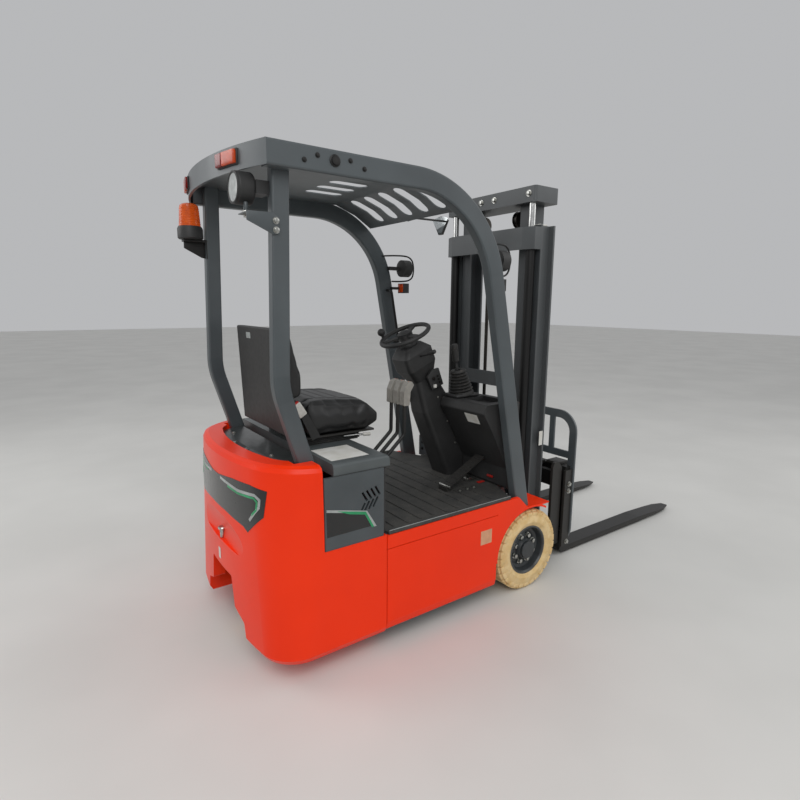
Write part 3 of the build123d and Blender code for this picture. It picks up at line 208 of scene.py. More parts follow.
class Painter:
    """Builds each finish once and hands it out."""

    def __init__(self) -> None:
        self.made: dict[str, bpy.types.Material] = {}
        self.tree: bpy.types.NodeTree | None = None

    def get(self, name: str) -> bpy.types.Material:
        """Return the material of a finish, built on first use."""
        if name not in self.made:
            self.made[name] = self._build(FINISHES[name])
        return self.made[name]

    def _node(self, kind: str, inputs: dict | None = None, **settings: str) -> bpy.types.Node:
        """Add a node, set its attributes and its inputs, each input a value or a socket.

        Args:
            kind: The node's type, without the ShaderNode prefix.
            inputs: Input name or index to a value or an output socket.
            **settings: Attributes of the node.

        Returns:
            The new node.
        """
        node = self.tree.nodes.new("ShaderNode" + kind)
        for key, value in settings.items():
            setattr(node, key, value)
        for key, value in (inputs or {}).items():
            if isinstance(value, Socket):
                self.tree.links.new(value, node.inputs[key])
            else:
                node.inputs[key].default_value = value
        return node

    def _noise(self, vector: Socket, size_mm: float, detail: float = 3.0) -> Socket:
        """Return a noise whose grains are about size_mm wide."""
        node = self._node("TexNoise", {"Vector": vector, "Scale": 1000 / size_mm, "Detail": detail})
        return node.outputs["Fac"]

    def _range(self, value: Socket, low: float, high: float, to: Flat) -> Socket:
        """Map a value from one range to another."""
        node = self._node("MapRange", {"Value": value, "From Min": low, "From Max": high,
                                             "To Min": to[0], "To Max": to[1]})
        return node.outputs["Result"]

    def _mix(self, share: Socket, first: Socket | tuple, second: tuple) -> Socket:
        """Mix two colours."""
        node = self._node("MixRGB", {"Fac": share, "Color1": first, "Color2": second})
        return node.outputs["Color"]

    def _relief(self, vector: Socket, finish: Finish) -> Socket:
        """Return the height pattern of a finish."""
        if finish.surface is Surface.BRUSHED:
            stretched = self._node("Mapping", {"Vector": vector, "Scale": (1.0, 1.0, 0.08)})
            return self._noise(stretched.outputs["Vector"], finish.grain_mm, 2.0)
        if finish.surface in (Surface.VINYL, Surface.CAST):
            cells = self._node("TexVoronoi", {"Vector": vector, "Scale": 1000 / finish.grain_mm})
            return cells.outputs["Distance"]
        if finish.surface is Surface.LENS:
            wave = self._node("TexWave", {"Vector": vector, "Scale": 1000 / finish.grain_mm / 6.3},
                              bands_direction="Z")
            return wave.outputs["Fac"]
        return self._noise(vector, finish.grain_mm, 4.0)

    def _build(self, finish: Finish) -> bpy.types.Material:
        """Make the node tree of one finish."""
        material = bpy.data.materials.new(finish.name)
        material.use_nodes = True
        self.tree = material.node_tree
        self.tree.nodes.clear()
        where = self._node("TexCoord").outputs["Object"]
        mottle = self._noise(where, finish.mottle_mm)
        colour = self._mix(self._range(mottle, 0.35, 0.65, (0, 1)), linear(finish.colour),
                           linear(finish.second))
        if finish.wear:
            edges = self._node("NewGeometry").outputs["Pointiness"]
            share = self._range(edges, 0.53, 0.62, (0, finish.wear_share))
            colour = self._mix(share, colour, linear(finish.wear))
        if finish.surface is Surface.RUBBER:
            dust = self._range(self._noise(where, 14, 5.0), 0.55, 0.8, (0, 0.25))
            colour = self._mix(dust, colour, linear("#8D857A"))
        vary = 0.02 if finish.surface is Surface.PAINT else 0.05
        rough = self._range(self._noise(where, finish.mottle_mm / 5), 0.2, 0.8,
                            (finish.roughness - vary, finish.roughness + vary))
        bump = self._node("Bump", {"Height": self._relief(where, finish), "Strength": 0.6,
                                         "Distance": finish.relief_mm / 1000})
        shader = self._node("BsdfPrincipled", {
            "Base Color": colour, "Roughness": rough, "Metallic": finish.metallic, "Coat Weight": finish.coat,
            "Coat Roughness": 0.12, "Transmission Weight": finish.transmission,
            "Specular IOR Level": finish.specular, "Normal": bump.outputs["Normal"]})
        if finish.glow:
            shader.inputs["Emission Color"].default_value = linear(finish.colour)
            shader.inputs["Emission Strength"].default_value = finish.glow
        self._node("OutputMaterial", {"Surface": shader.outputs["BSDF"]})
        return material


PAINTER = Painter()


def select(obj: Object) -> Object:
    """Make one object the only selected and active one."""
    bpy.ops.object.select_all(action="DESELECT")
    obj.select_set(True)
    bpy.context.view_layer.objects.active = obj
    return obj


def modify(obj: Object, kind: str, **settings) -> None:
    """Add a modifier, set it and apply it."""
    select(obj)
    modifier = obj.modifiers.new(kind.lower(), kind)
    for key, value in settings.items():
        setattr(modifier, key, value)
    bpy.ops.object.modifier_apply(modifier=modifier.name)


def settle(obj: Object, smooth_deg: float = 35.0) -> Object:
    """Bake the object's place into its mesh, turn the faces outward and shade it."""
    select(obj)
    bpy.ops.object.transform_apply(location=True, rotation=True, scale=True)
    bpy.ops.object.mode_set(mode="EDIT")
    bpy.ops.mesh.select_all(action="SELECT")
    bpy.ops.mesh.normals_make_consistent(inside=False)
    bpy.ops.object.mode_set(mode="OBJECT")
    bpy.ops.object.shade_smooth_by_angle(angle=math.radians(smooth_deg))
    return obj


def slab(low: Point, high: Point, bevel: float = 0.0, steps: int = 2) -> Object:
    """Box between two corners with rounded edges."""
    bpy.ops.mesh.primitive_cube_add(size=1, location=[(a + b) / 2 for a, b in zip(low, high)])
    obj = bpy.context.object
    obj.scale = [b - a for a, b in zip(low, high)]
    bpy.ops.object.transform_apply(location=True, rotation=True, scale=True)
    if bevel:
        modify(obj, "BEVEL", width=bevel, segments=steps, limit_method="ANGLE")
    return settle(obj)


def drum(middle: Point, direction: Point, radius: float, length: float, sides: int = 32,
         bevel: float = 0.0) -> Object:
    """Round or many-sided bar centred on a point, along a direction."""
    turn = Vector(direction).to_track_quat("Z", "Y").to_euler()
    bpy.ops.mesh.primitive_cylinder_add(vertices=sides, radius=radius, depth=length, location=middle, rotation=turn)
    obj = bpy.context.object
    if bevel:
        modify(obj, "BEVEL", width=bevel, segments=2, limit_method="ANGLE", angle_limit=math.radians(50))
    return settle(obj)


def lathe(profile: list[Flat], middle: Point, direction: Point, sides: int = 64) -> Object:
    """Turn a closed outline of (radius, along) about a direction through a point."""
    bpy.ops.mesh.primitive_circle_add(vertices=len(profile), radius=1, fill_type="NOTHING")
    obj = bpy.context.object
    for vertex, (radius, along) in zip(obj.data.vertices, profile):
        vertex.co = (radius, 0, along)
    modify(obj, "SCREW", axis="Z", steps=sides, render_steps=sides, use_merge_vertices=True,
           use_smooth_shade=True)
    turn = Vector(direction).to_track_quat("Z", "Y").to_matrix().to_4x4()
    obj.matrix_world = Matrix.Translation(middle) @ turn
    return settle(obj, 40)


def plate(points: list[Point], thickness: float, bevel: float = 0.0) -> Object:
    """Thin sheet whose outline goes through the points, thickened to both sides."""
    bpy.ops.mesh.primitive_circle_add(vertices=len(points), radius=1, fill_type="NGON")
    obj = bpy.context.object
    for vertex, point in zip(obj.data.vertices, points):
        vertex.co = point
    modify(obj, "SOLIDIFY", thickness=thickness, offset=0.0)
    if bevel:
        modify(obj, "BEVEL", width=bevel, segments=2, limit_method="ANGLE")
    return settle(obj)


def bar(points: list[Point], radius: float, sides: int) -> Object:
    """Round bar along a smooth line through the points."""
    bpy.ops.curve.primitive_nurbs_path_add()
    obj = bpy.context.object
    obj.data.splines.clear()
    spline = obj.data.splines.new("NURBS")
    spline.points.add(len(points) - 1)
    for knot, point in zip(spline.points, points):
        knot.co = (*point, 1)
    spline.use_endpoint_u = True
    spline.order_u = 3
    obj.data.dimensions = "3D"
    obj.data.bevel_depth = radius
    obj.data.bevel_resolution = sides
    obj.data.use_fill_caps = True
    select(obj)
    bpy.ops.object.convert(target="MESH")
    return settle(bpy.context.object)


def join(objects: list[Object]) -> Object:
    """Join objects into one mesh."""
    bpy.ops.object.select_all(action="DESELECT")
    for obj in objects:
        obj.select_set(True)
    bpy.context.view_layer.objects.active = objects[0]
    bpy.ops.object.join()
    return bpy.context.object


def keep(obj: Object, name: str, look: Look, *replaced: str, body: str = "chassis") -> None:
    """Name a piece, give it its finish and hang it on its body.

    Args:
        obj: The piece.
        name: Its plain name.
        look: The name of its finish, and the record's material slot.
        *replaced: Nodes that it stands for.
        body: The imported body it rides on.
    """
    obj.name = name
    obj.data.name = name
    obj.data.materials.clear()
    obj.data.materials.append(PAINTER.get(look[0]))
    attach(obj, body)
    if replaced:
        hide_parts(*replaced)


def hex_bolt(middle: Point, direction: Point, across: float = 0.019, height: float = 0.008) -> Object:
    """Bolt head with its washer, standing on a face."""
    out = Vector(direction).normalized()
    washer = drum(Vector(middle) + out * 0.0008, direction, across * 0.72, 0.0016, 24)
    corner = across / 2 / math.cos(math.pi / 6)
    head = drum(Vector(middle) + out * (0.0016 + height / 2), direction, corner, height, 6, 0.0012)
    return join([washer, head])


def land(node: str, start: Point, direction: Point) -> tuple[Vector, Vector]:
    """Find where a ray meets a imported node.

    Args:
        node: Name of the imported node.
        start: Where the ray starts.
        direction: Where it goes.

    Returns:
        The point on the surface and the surface's outward direction.
    """
    hit, place, normal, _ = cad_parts[node].ray_cast(Vector(start), Vector(direction).normalized())
    if not hit:
        raise ValueError(f"nothing of {node} lies in the way of {start}")
    return place, normal


def film(node: str, first: list[Point], second: list[Point], direction: Point, lift: float = 0.0009,
         rows: int = 6) -> Object:
    """Thin film laid on a curved node between two edges that have as many points each."""
    bpy.ops.mesh.primitive_grid_add(x_subdivisions=len(first) - 1, y_subdivisions=rows, size=1)
    obj = bpy.context.object
    count = len(first)
    for index, vertex in enumerate(obj.data.vertices):
        column, row = index % count, index // count
        start = Vector(first[column]).lerp(Vector(second[column]), row / rows)
        place, normal = land(node, start, direction)
        vertex.co = place + normal * lift
    modify(obj, "SOLIDIFY", thickness=lift * 0.8, offset=0.0)
    return settle(obj, 50)


def ribbon(path: list[Point], width: float, up: Point, steps: int = 5) -> tuple[list[Point], list[Point]]:
    """Two edges of a stripe of even width along a line, with corners kept sharp."""
    line = []
    for start, end in zip(path, path[1:]):
        line += [Vector(start).lerp(Vector(end), step / steps) for step in range(steps)]
    line.append(Vector(path[-1]))
    edges = ([], [])
    for index, point in enumerate(line):
        before, after = line[max(index - 1, 0)], line[min(index + 1, len(line) - 1)]
        across = (after - before).cross(Vector(up)).normalized() * width / 2
        edges[0].append(tuple(point + across))
        edges[1].append(tuple(point - across))
    return edges


def spread(points: list[Point], steps: int) -> list[Point]:
    """More points along a line of straight runs."""
    line = []
    for start, end in zip(points, points[1:]):
        line += [tuple(Vector(start).lerp(Vector(end), step / steps)) for step in range(steps)]
    return line + [points[-1]]


def arc_block(middle_x: float, radii: Flat, sides: Flat, heights: Flat) -> Object:
    """Block that follows a circle round the z axis, between two values of y."""
    inner, outer = radii
    ys = [sides[0] + (sides[1] - sides[0]) * step / 12 for step in range(13)]
    edge = [(middle_x - math.sqrt(outer ** 2 - y ** 2), y) for y in ys]
    edge += [(middle_x - math.sqrt(inner ** 2 - y ** 2), y) for y in reversed(ys)]
    level = sum(heights) / 2
    return plate([(x, y, level) for x, y in edge], heights[1] - heights[0], 0.003)


def dress_nodes() -> None:
    """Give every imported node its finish."""
    for finish, nodes in NODE_FINISH.items():
        for name in nodes:
            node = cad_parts[name]
            material = PAINTER.get(finish)
            if not node.material_slots:
                node.data.materials.append(material)
            for slot in node.material_slots:
                slot.material = material


@dataclass
class Seat:
    """Soft cushion and back with sewn channels."""

    body: str = "battery_lid"
    voxel: float = 0.006
    most_out: float = 0.012
    bolster_y: float = 0.14
    stitch_depth: float = 0.0045
    stitch_half: float = 0.0055
    frames: int = 20

    def pad(self, node: str, shrink: float) -> Object:
        """Swell a shrunken copy of a soft solid with cloth pressure."""
        low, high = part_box(node)
        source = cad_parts[node]
        select(source)
        bpy.ops.object.duplicate()
        obj = bpy.context.object
        obj.parent = None
        for key in list(obj.keys()):
            if key.startswith("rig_"):
                del obj[key]
        middle = (low + high) / 2
        half = (high - low) / 2
        share = [1 - shrink / max(size, shrink * 3) for size in half]
        for vertex in obj.data.vertices:
            vertex.co = [m + (c - m) * s for c, m, s in zip(vertex.co, middle, share)]
        modify(obj, "REMESH", mode="VOXEL", voxel_size=self.voxel)
        rest = [vertex.co.copy() for vertex in obj.data.vertices]
        self._inflate(obj)
        for vertex, start in zip(obj.data.vertices, rest):
            move = vertex.co - start
            if move.length > self.most_out:
                vertex.co = start + move.normalized() * self.most_out
            vertex.co = [min(max(c, a), b) for c, a, b in zip(vertex.co, low, high)]
        return obj

    def _inflate(self, obj: Object) -> None:
        """Run the cloth for its frames and apply it."""
        select(obj)
        cloth = obj.modifiers.new("cloth", "CLOTH")
        cloth.settings.use_pressure = True
        cloth.settings.uniform_pressure_force = 4
        cloth.settings.effector_weights.gravity = 0
        for number in range(1, self.frames + 1):
            bpy.context.scene.frame_set(number)
        bpy.ops.object.modifier_apply(modifier=cloth.name)
        bpy.context.scene.frame_set(1)

    def _sew(self, obj: Object, out: int, along: int) -> None:
        """Press the bolster seams and the cross seams into the face that carries the driver.

        Args:
            obj: The pad, already remeshed.
            out: Axis that this face looks along.
            along: Axis across which the cross seams are spaced.
        """
        places = [vertex.co[along] for vertex in obj.data.vertices]
        low, high = min(places), max(places)
        cross = [low + (high - low) * share for share in (0.26, 0.42, 0.58)]
        moves = []
        for vertex in obj.data.vertices:
            if vertex.normal[out] < 0.45:
                continue
            y, place = abs(vertex.co.y), vertex.co[along]
            gaps = [y - self.bolster_y]
            if y < self.bolster_y:
                gaps += [place - line for line in cross]
            depth = max(math.exp(-(gap / self.stitch_half) ** 2) for gap in gaps)
            moves.append((vertex.index, depth * self.stitch_depth))
        for index, depth in moves:
            obj.data.vertices[index].co[out] -= depth

    def build(self) -> None:
        """Make both pads."""
        for node, name, fill, out, along in (("seat_cushion", "seat_pad", 0.8, 2, 0),
                                             ("back_cushion", "back_pad", 0.75, 0, 2)):
            pad = self.pad(node, self.voxel)
            modify(pad, "SMOOTH", factor=0.5, iterations=10)
            self._sew(pad, out, along)
            modify(pad, "SUBSURF", levels=1)
            settle(pad, 60)
            keep(pad, name, VINYL, node, body=self.body)


@dataclass
class FrontWheel:
    """Tread blocks, nuts and hub detail of one front wheel."""

    side: int
    radius: float = 0.2125
    width: float = 0.15
    middle_y: float = 0.435
    lugs: int = 30
    nuts: int = 8
    nut_circle: float = 0.07

    def build(self) -> None:
        """Make the tread and the nuts."""
        name = side_name(self.side)
        body = "wheel_front_" + name
        y, half, r = self.middle_y * self.side, self.width / 2, self.radius
        edge = [(0.129, half - 0.01), (0.15, half), (r - 0.032, half - 0.003), (r - 0.02, half - 0.01),
                (r - 0.013, half - 0.022)]
        carcass = lathe([(out, -along) for out, along in edge] + edge[::-1], (0, 0, 0), UP, 90)
        blocks = [carcass]
        for index in range(self.lugs):
            for row, twist in ((-1, 0.0), (1, 0.5)):
                lug = self._lug(row)
                lug.rotation_euler = Euler((0, 0, 2 * math.pi * (index + twist) / self.lugs))
                blocks.append(lug)
        tread = join(blocks)
        tread.matrix_world = Matrix.Translation((AXLE_X, y, r)) @ Matrix.Rotation(math.pi / 2, 4, "X")
        keep(settle(tread, 30), "tread_tyre_" + name, ("cream_tyre_rubber", "pale_tyre"), "tyre_" + name, body=body)
        nuts = []
        face = self.side * (self.middle_y + 0.034)
        for index in range(self.nuts):
            a = 2 * math.pi * (index + 0.5) / self.nuts
            spot = (AXLE_X + self.nut_circle * math.cos(a), face, r + self.nut_circle * math.sin(a))
            nuts.append(hex_bolt(spot, (0, self.side, 0), 0.021, 0.014))
        keep(join(nuts), "wheel_nuts_" + name, BOLTS, body=body)

    def _lug(self, row: int) -> Object:
        """One tread block, from the middle of the tread over the shoulder."""
        r, half = self.radius, self.width / 2
        pitch = 2 * math.pi * r / self.lugs
        lug = slab((r - 0.02, -pitch * 0.41, 0.003), (r, pitch * 0.41, half - 0.016), 0.003)
        shoulder = slab((r - 0.034, -pitch * 0.41, half - 0.03), (r - 0.01, pitch * 0.41, half - 0.004), 0.004)
        piece = join([lug, shoulder])
        if row < 0:
            piece.scale = (1, 1, -1)
        select(piece)
        bpy.ops.object.transform_apply(location=False, rotation=False, scale=True)
        return piece


@dataclass
class LiftChains:
    """Leaf chains in place of the plain strips."""

    pitch: float = 0.0159
    plates: int = 5
    plate_step: float = 0.0042

    def build(self) -> None:
        """Make both chains from plates and pins."""
        low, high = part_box("lift_chains")
        runs = []
        x = (low.x + high.x) / 2
        for side in SIDES:
            y = side * 0.135
            link = []
            for index in range(self.plates):
                middle = y + (index - self.plates // 2) * self.plate_step
                z = low.z + 0.01 + (self.pitch / 2 if index % 2 else 0.0)
                link.append(slab((x - 0.0058, middle - 0.0014, z - 0.0105), (x + 0.0058, middle + 0.0014, z + 0.0105),
                                 0.004, 1))
            link.append(drum((x, y, low.z + 0.01), (0, 1, 0), 0.0028, 0.0215, 10))
            run = join(link)
            count = int((high.z - low.z - 0.028) / self.pitch)
            modify(run, "ARRAY", count=count, use_relative_offset=False, use_constant_offset=True,
                   constant_offset_displace=(0, 0, self.pitch))
            runs.append(run)
        keep(settle(join(runs)), "leaf_chains", CHAIN, "lift_chains", body="inner_mast")


@dataclass
class Decals:
    """Stripes, badge fields and blank labels."""

    cover_y: float = 0.5133

    def build(self) -> None:
        """Lay every film on its panel."""
        self._rear_badge()
        for side in SIDES:
            self._cover_badge(side)
        self._labels()

    def _rear_badge(self) -> None:
        """Dark shield on the rear with a silver and a green line on each side."""
        top = [(-0.3965, 0.772), (-0.3125, 0.7807), (-0.177, 0.7755), (-0.036, 0.7585)]
        low = [(-0.386, 0.669), (-0.293, 0.584), (-0.259, 0.5995), (-0.091, 0.616)]
        start = -1.9
        upper = [(start, y, z) for y, z in top + [(-y, z) for y, z in reversed(top)]]
        lower = [(start, y, z) for y, z in low + [(-y, z) for y, z in reversed(low)]]
        field = film("counterweight", spread(upper, 5), spread(lower, 5), AHEAD, 0.001, 8)
        keep(field, "rear_badge_field", BADGE)
        silver, green = [], []
        for side in SIDES:
            outer = [(-0.06, 0.749), (-0.2255, 0.7365), (-0.341, 0.7462), (-0.366, 0.733), (-0.3635, 0.7031),
                     (-0.3076, 0.6378)]
            inner = [(-0.135, 0.7325), (-0.225, 0.7255), (-0.337, 0.734), (-0.354, 0.7215), (-0.35, 0.69),
                     (-0.322, 0.662)]
            for line, width, store in ((outer, 0.0115, silver), (inner, 0.0085, green)):
                edges = ribbon([(start, -side * y, z) for y, z in line], width, AHEAD)
                store.append(film("counterweight", *edges, AHEAD, 0.0018, 1))
        keep(join(silver), "rear_badge_silver_line", SILVER)
        keep(join(green), "rear_badge_green_line", GREEN)

    def _cover_badge(self, side: int) -> None:
        """Dark field with its two lines on a side cover."""
        name = side_name(side)
        y = side * self.cover_y
        field = [(-1.3075, 0.69), (-1.14, 0.644), (-1.108, 0.585), (-1.306, 0.5835)]
        silver = [(-1.3075, 0.6965), (-1.128, 0.6545), (-1.083, 0.5795), (-1.097, 0.5795), (-1.1345, 0.6455),
                  (-1.25, 0.6725), (-1.3075, 0.686)]
        green = [(-1.262, 0.6815), (-1.1335, 0.6515), (-1.0955, 0.5795), (-1.1055, 0.5795), (-1.1385, 0.6405),
                 (-1.21, 0.658)]
        for shape, depth, look, kind in ((field, 0.0, BADGE, "field"), (silver, 0.0006, SILVER, "silver"),
                                         (green, 0.0009, GREEN, "green")):
            piece = plate([(x, y + side * depth, z) for x, z in shape], 0.0009)
            keep(piece, f"cover_badge_{kind}_{name}", look)

    @staticmethod
    def _laid(node: str, x: float, ys: tuple[float, ...], heights: Flat, rows: int, lean: float = 0.0) -> Object:
        """Label laid on a curved node from behind, between two heights."""
        top, low = heights
        return film(node, [(x, y, top) for y in ys], [(x, y + lean, low) for y in ys], AHEAD, 0.0009, rows)

    def _labels(self) -> None:
        """Blank labels on the hood, side panel, cowl, counterweight, seat shell and mast."""
        labels = (
            ("lid", slab((-1.252, -0.455, 0.8638), (-1.082, -0.275, 0.8648), 0.0003, 1), BLANK, "battery_lid"),
            ("side", slab((-0.497, -0.5158, 0.335), (-0.425, -0.5149, 0.405), 0.0003, 1),
             ("blank_cream_label", "grey_plastic"), "chassis"),
            ("cowl", self._laid("cowl", -0.9, (-0.355, -0.31, -0.265), (0.928, 0.878), 4, 0.005), BLANK, "chassis"),
            ("rear", self._laid("counterweight", -1.9, (-0.005, 0.02), (0.412, 0.362), 2), BLANK, "chassis"),
            ("seat", self._laid("seat_back", -1.6, (0.068, 0.094, 0.12), (1.336, 1.31), 2), SILVER, "battery_lid"),
            ("mast", slab((0.098, -0.3357, 0.697), (0.126, -0.3349, 0.777), 0.0003, 1), BLANK, "outer_mast"),
        )
        for name, label, look, body in labels:
            keep(label, "blank_label_" + name, look, body=body)


@dataclass
class Trim:
    """Step nosing, hood seal, screws and drawbar pin of the body."""

    def build(self) -> None:
        """Make the trim of both sides."""
        for side in SIDES:
            self._step(side)
        self._screws()
        self._tow_pin()
        self._seals()

    @staticmethod
    def _step(side: int) -> None:
        """Rubber nosing along the step, with a thin silver strip on its top that paints the highlight along its edge.
        """
        name = side_name(side)
        rear, front = AXLE_X - 0.879, AXLE_X - 0.156
        low_y, high_y = sorted((side * 0.4975, side * 0.5146))
        nosing = slab((rear, low_y, 0.5232), (front, high_y, 0.5405), 0.005, 3)
        keep(nosing, "step_nosing_" + name, RUBBER)
        # The thin silver strip is a painted highlight along the top of the nosing, not a real bright trim.
        low_y, high_y = sorted((side * 0.5082, side * 0.5122))
        line = slab((rear + 0.004, low_y, 0.5385), (front - 0.004, high_y, 0.5412), 0.001)
        keep(line, "step_painted_highlight_line_" + name, ("silver_stripe_film", "bright_rod"))

    @staticmethod
    def _screws() -> None:
        """Screws of the rear cover, the overhead guard, the shifter's plates, the mast and the floor."""
        bright, dark = [], []
        for y in (-0.2317, -0.0698, 0.0698, 0.2317):
            x = -1.452 if abs(y) < 0.1 else -1.405
            place, normal = land("rear_cover", (x, y, 1.2), DOWN)
            bright.append(hex_bolt(place, normal, 0.014, 0.005))
        for side in SIDES:
            rail = "guard_rail_" + side_name(side)
            for x, z in ((-1.3437, 1.9413), (-1.2932, 1.963), (-1.163, 1.964), (-1.105, 1.9437)):
                place, normal = land(rail, (x, side * 0.8, z), (0, -side, 0))
                dark.append(hex_bolt(place, normal, 0.0125, 0.004))
            place, normal = land(rail, (-1.2262, side * 0.8, 1.955), (0, -side, 0))
            dark.append(lathe([(CORE, 0.0), (0.021, 0.0), (0.021, 0.003), (0.0165, 0.005), (0.015, 0.0095),
                               (0.0085, 0.0105), (0.0075, 0.007), (CORE, 0.007)], place, normal, 40))
            for z in (0.6, 0.56):
                dark.append(hex_bolt((AXLE_X - 0.02, side * 0.375, z), BACK, 0.014, 0.005))
        keep(join(bright), "cover_screws", BOLTS)
        keep(join(dark), "guard_bolts", BLACK)
        heads = []
        for side in SIDES:
            for x, z in ((0.28, 0.462), (0.277, 0.421), (0.286, 0.114)):
                heads.append(hex_bolt((x, side * 0.416, z), (0, side, 0), 0.02, 0.009))
            for y, z in ((0.13, 0.515), (0.205, 0.13)):
                heads.append(hex_bolt((0.3035, side * y, z), AHEAD, 0.016, 0.007))
        keep(join(heads), "shifter_bolts", BOLTS, body="side_shifter")
        beam = []
        for side in SIDES:
            for y in (0.05, 0.292):
                beam.append(hex_bolt(*land("inner_mast", (-0.6, side * y, 2.015), AHEAD), 0.022, 0.01))
        keep(join(beam), "mast_head_bolts", BOLTS, body="inner_mast")

    @staticmethod
    def _tow_pin() -> None:
        """Drawbar pin with its knob, in the hollow of the counterweight."""
        place, _ = land("counterweight", (-1.9, 0.0, 0.5), AHEAD)
        x = place.x - 0.004
        pin = drum((x, 0, 0.477), UP, 0.011, 0.04, 24, 0.002)
        knob = lathe([(CORE, 0.0), (0.017, 0.001), (0.019, 0.006), (0.016, 0.011), (CORE, 0.012)],
                     (x, 0, 0.4965), UP, 32)
        keep(join([pin, knob]), "tow_pin", BOLTS)

    @staticmethod
    def _seals() -> None:
        """Thin black gasket along both sides, under the hood lid."""
        strips = [slab((AXLE_X - 1.126, side * 0.5058 - 0.0016, 0.8168),
                       (AXLE_X - 0.864, side * 0.5058 + 0.0016, 0.8196), 0.0006, 1) for side in SIDES]
        keep(join(strips), "hood_seal", RUBBER, body="battery_lid")


@dataclass
class SeatGear:
    """Buckle, belt, adjusting lever and bellows of the seat."""

    body: str = "battery_lid"
    belt_y: float = -0.252

    def _sheet(self, outline: tuple[Flat, ...], thickness: float, bevel: float = 0.0) -> Object:
        """Upright plate of the belt, from its outline of x and z."""
        return plate([(x, self.belt_y, z) for x, z in outline], thickness, bevel)

    def build(self) -> None:
        """Make what is fixed to the seat."""
        strap = self._sheet(((-1.232, 0.9), (-1.194, 0.912), (-1.252, 1.018), (-1.28, 1.002)), 0.0022)
        keep(strap, "belt_strap", VINYL, body=self.body)
        buckle = self._sheet(((-1.288, 0.998), (-1.254, 1.019), (-1.288, 1.072), (-1.322, 1.051)), 0.02, 0.006)
        button = self._sheet(((-1.316, 1.051), (-1.29, 1.067), (-1.294, 1.074), (-1.32, 1.058)), 0.013, 0.002)
        keep(buckle, "belt_buckle", PALE, body=self.body)
        keep(button, "belt_button", ("red_switch_plastic", "grey_plastic"), body=self.body)
        lever = bar([(-1.06, -0.208, 0.8855), (-1.02, -0.212, 0.8855), (-0.99, -0.222, 0.8865),
                     (-0.965, -0.23, 0.886)], 0.005, 4)
        grip = drum((-0.955, -0.2335, 0.886), (1, -0.35, 0), 0.0075, 0.036, 20, 0.003)
        keep(lever, "seat_lever", ("polished_rod_steel", "bright_rod"), body=self.body)
        keep(grip, "seat_lever_grip", PALE, body=self.body)
        folds = []
        for index in range(4):
            z = 0.869 + index * 0.0072
            folds.append(slab((-1.242, -0.204, z), (-0.974, 0.204, z + 0.0052), 0.0025))
        keep(join(folds), "suspension_bellows", BELLOWS, body=self.body)


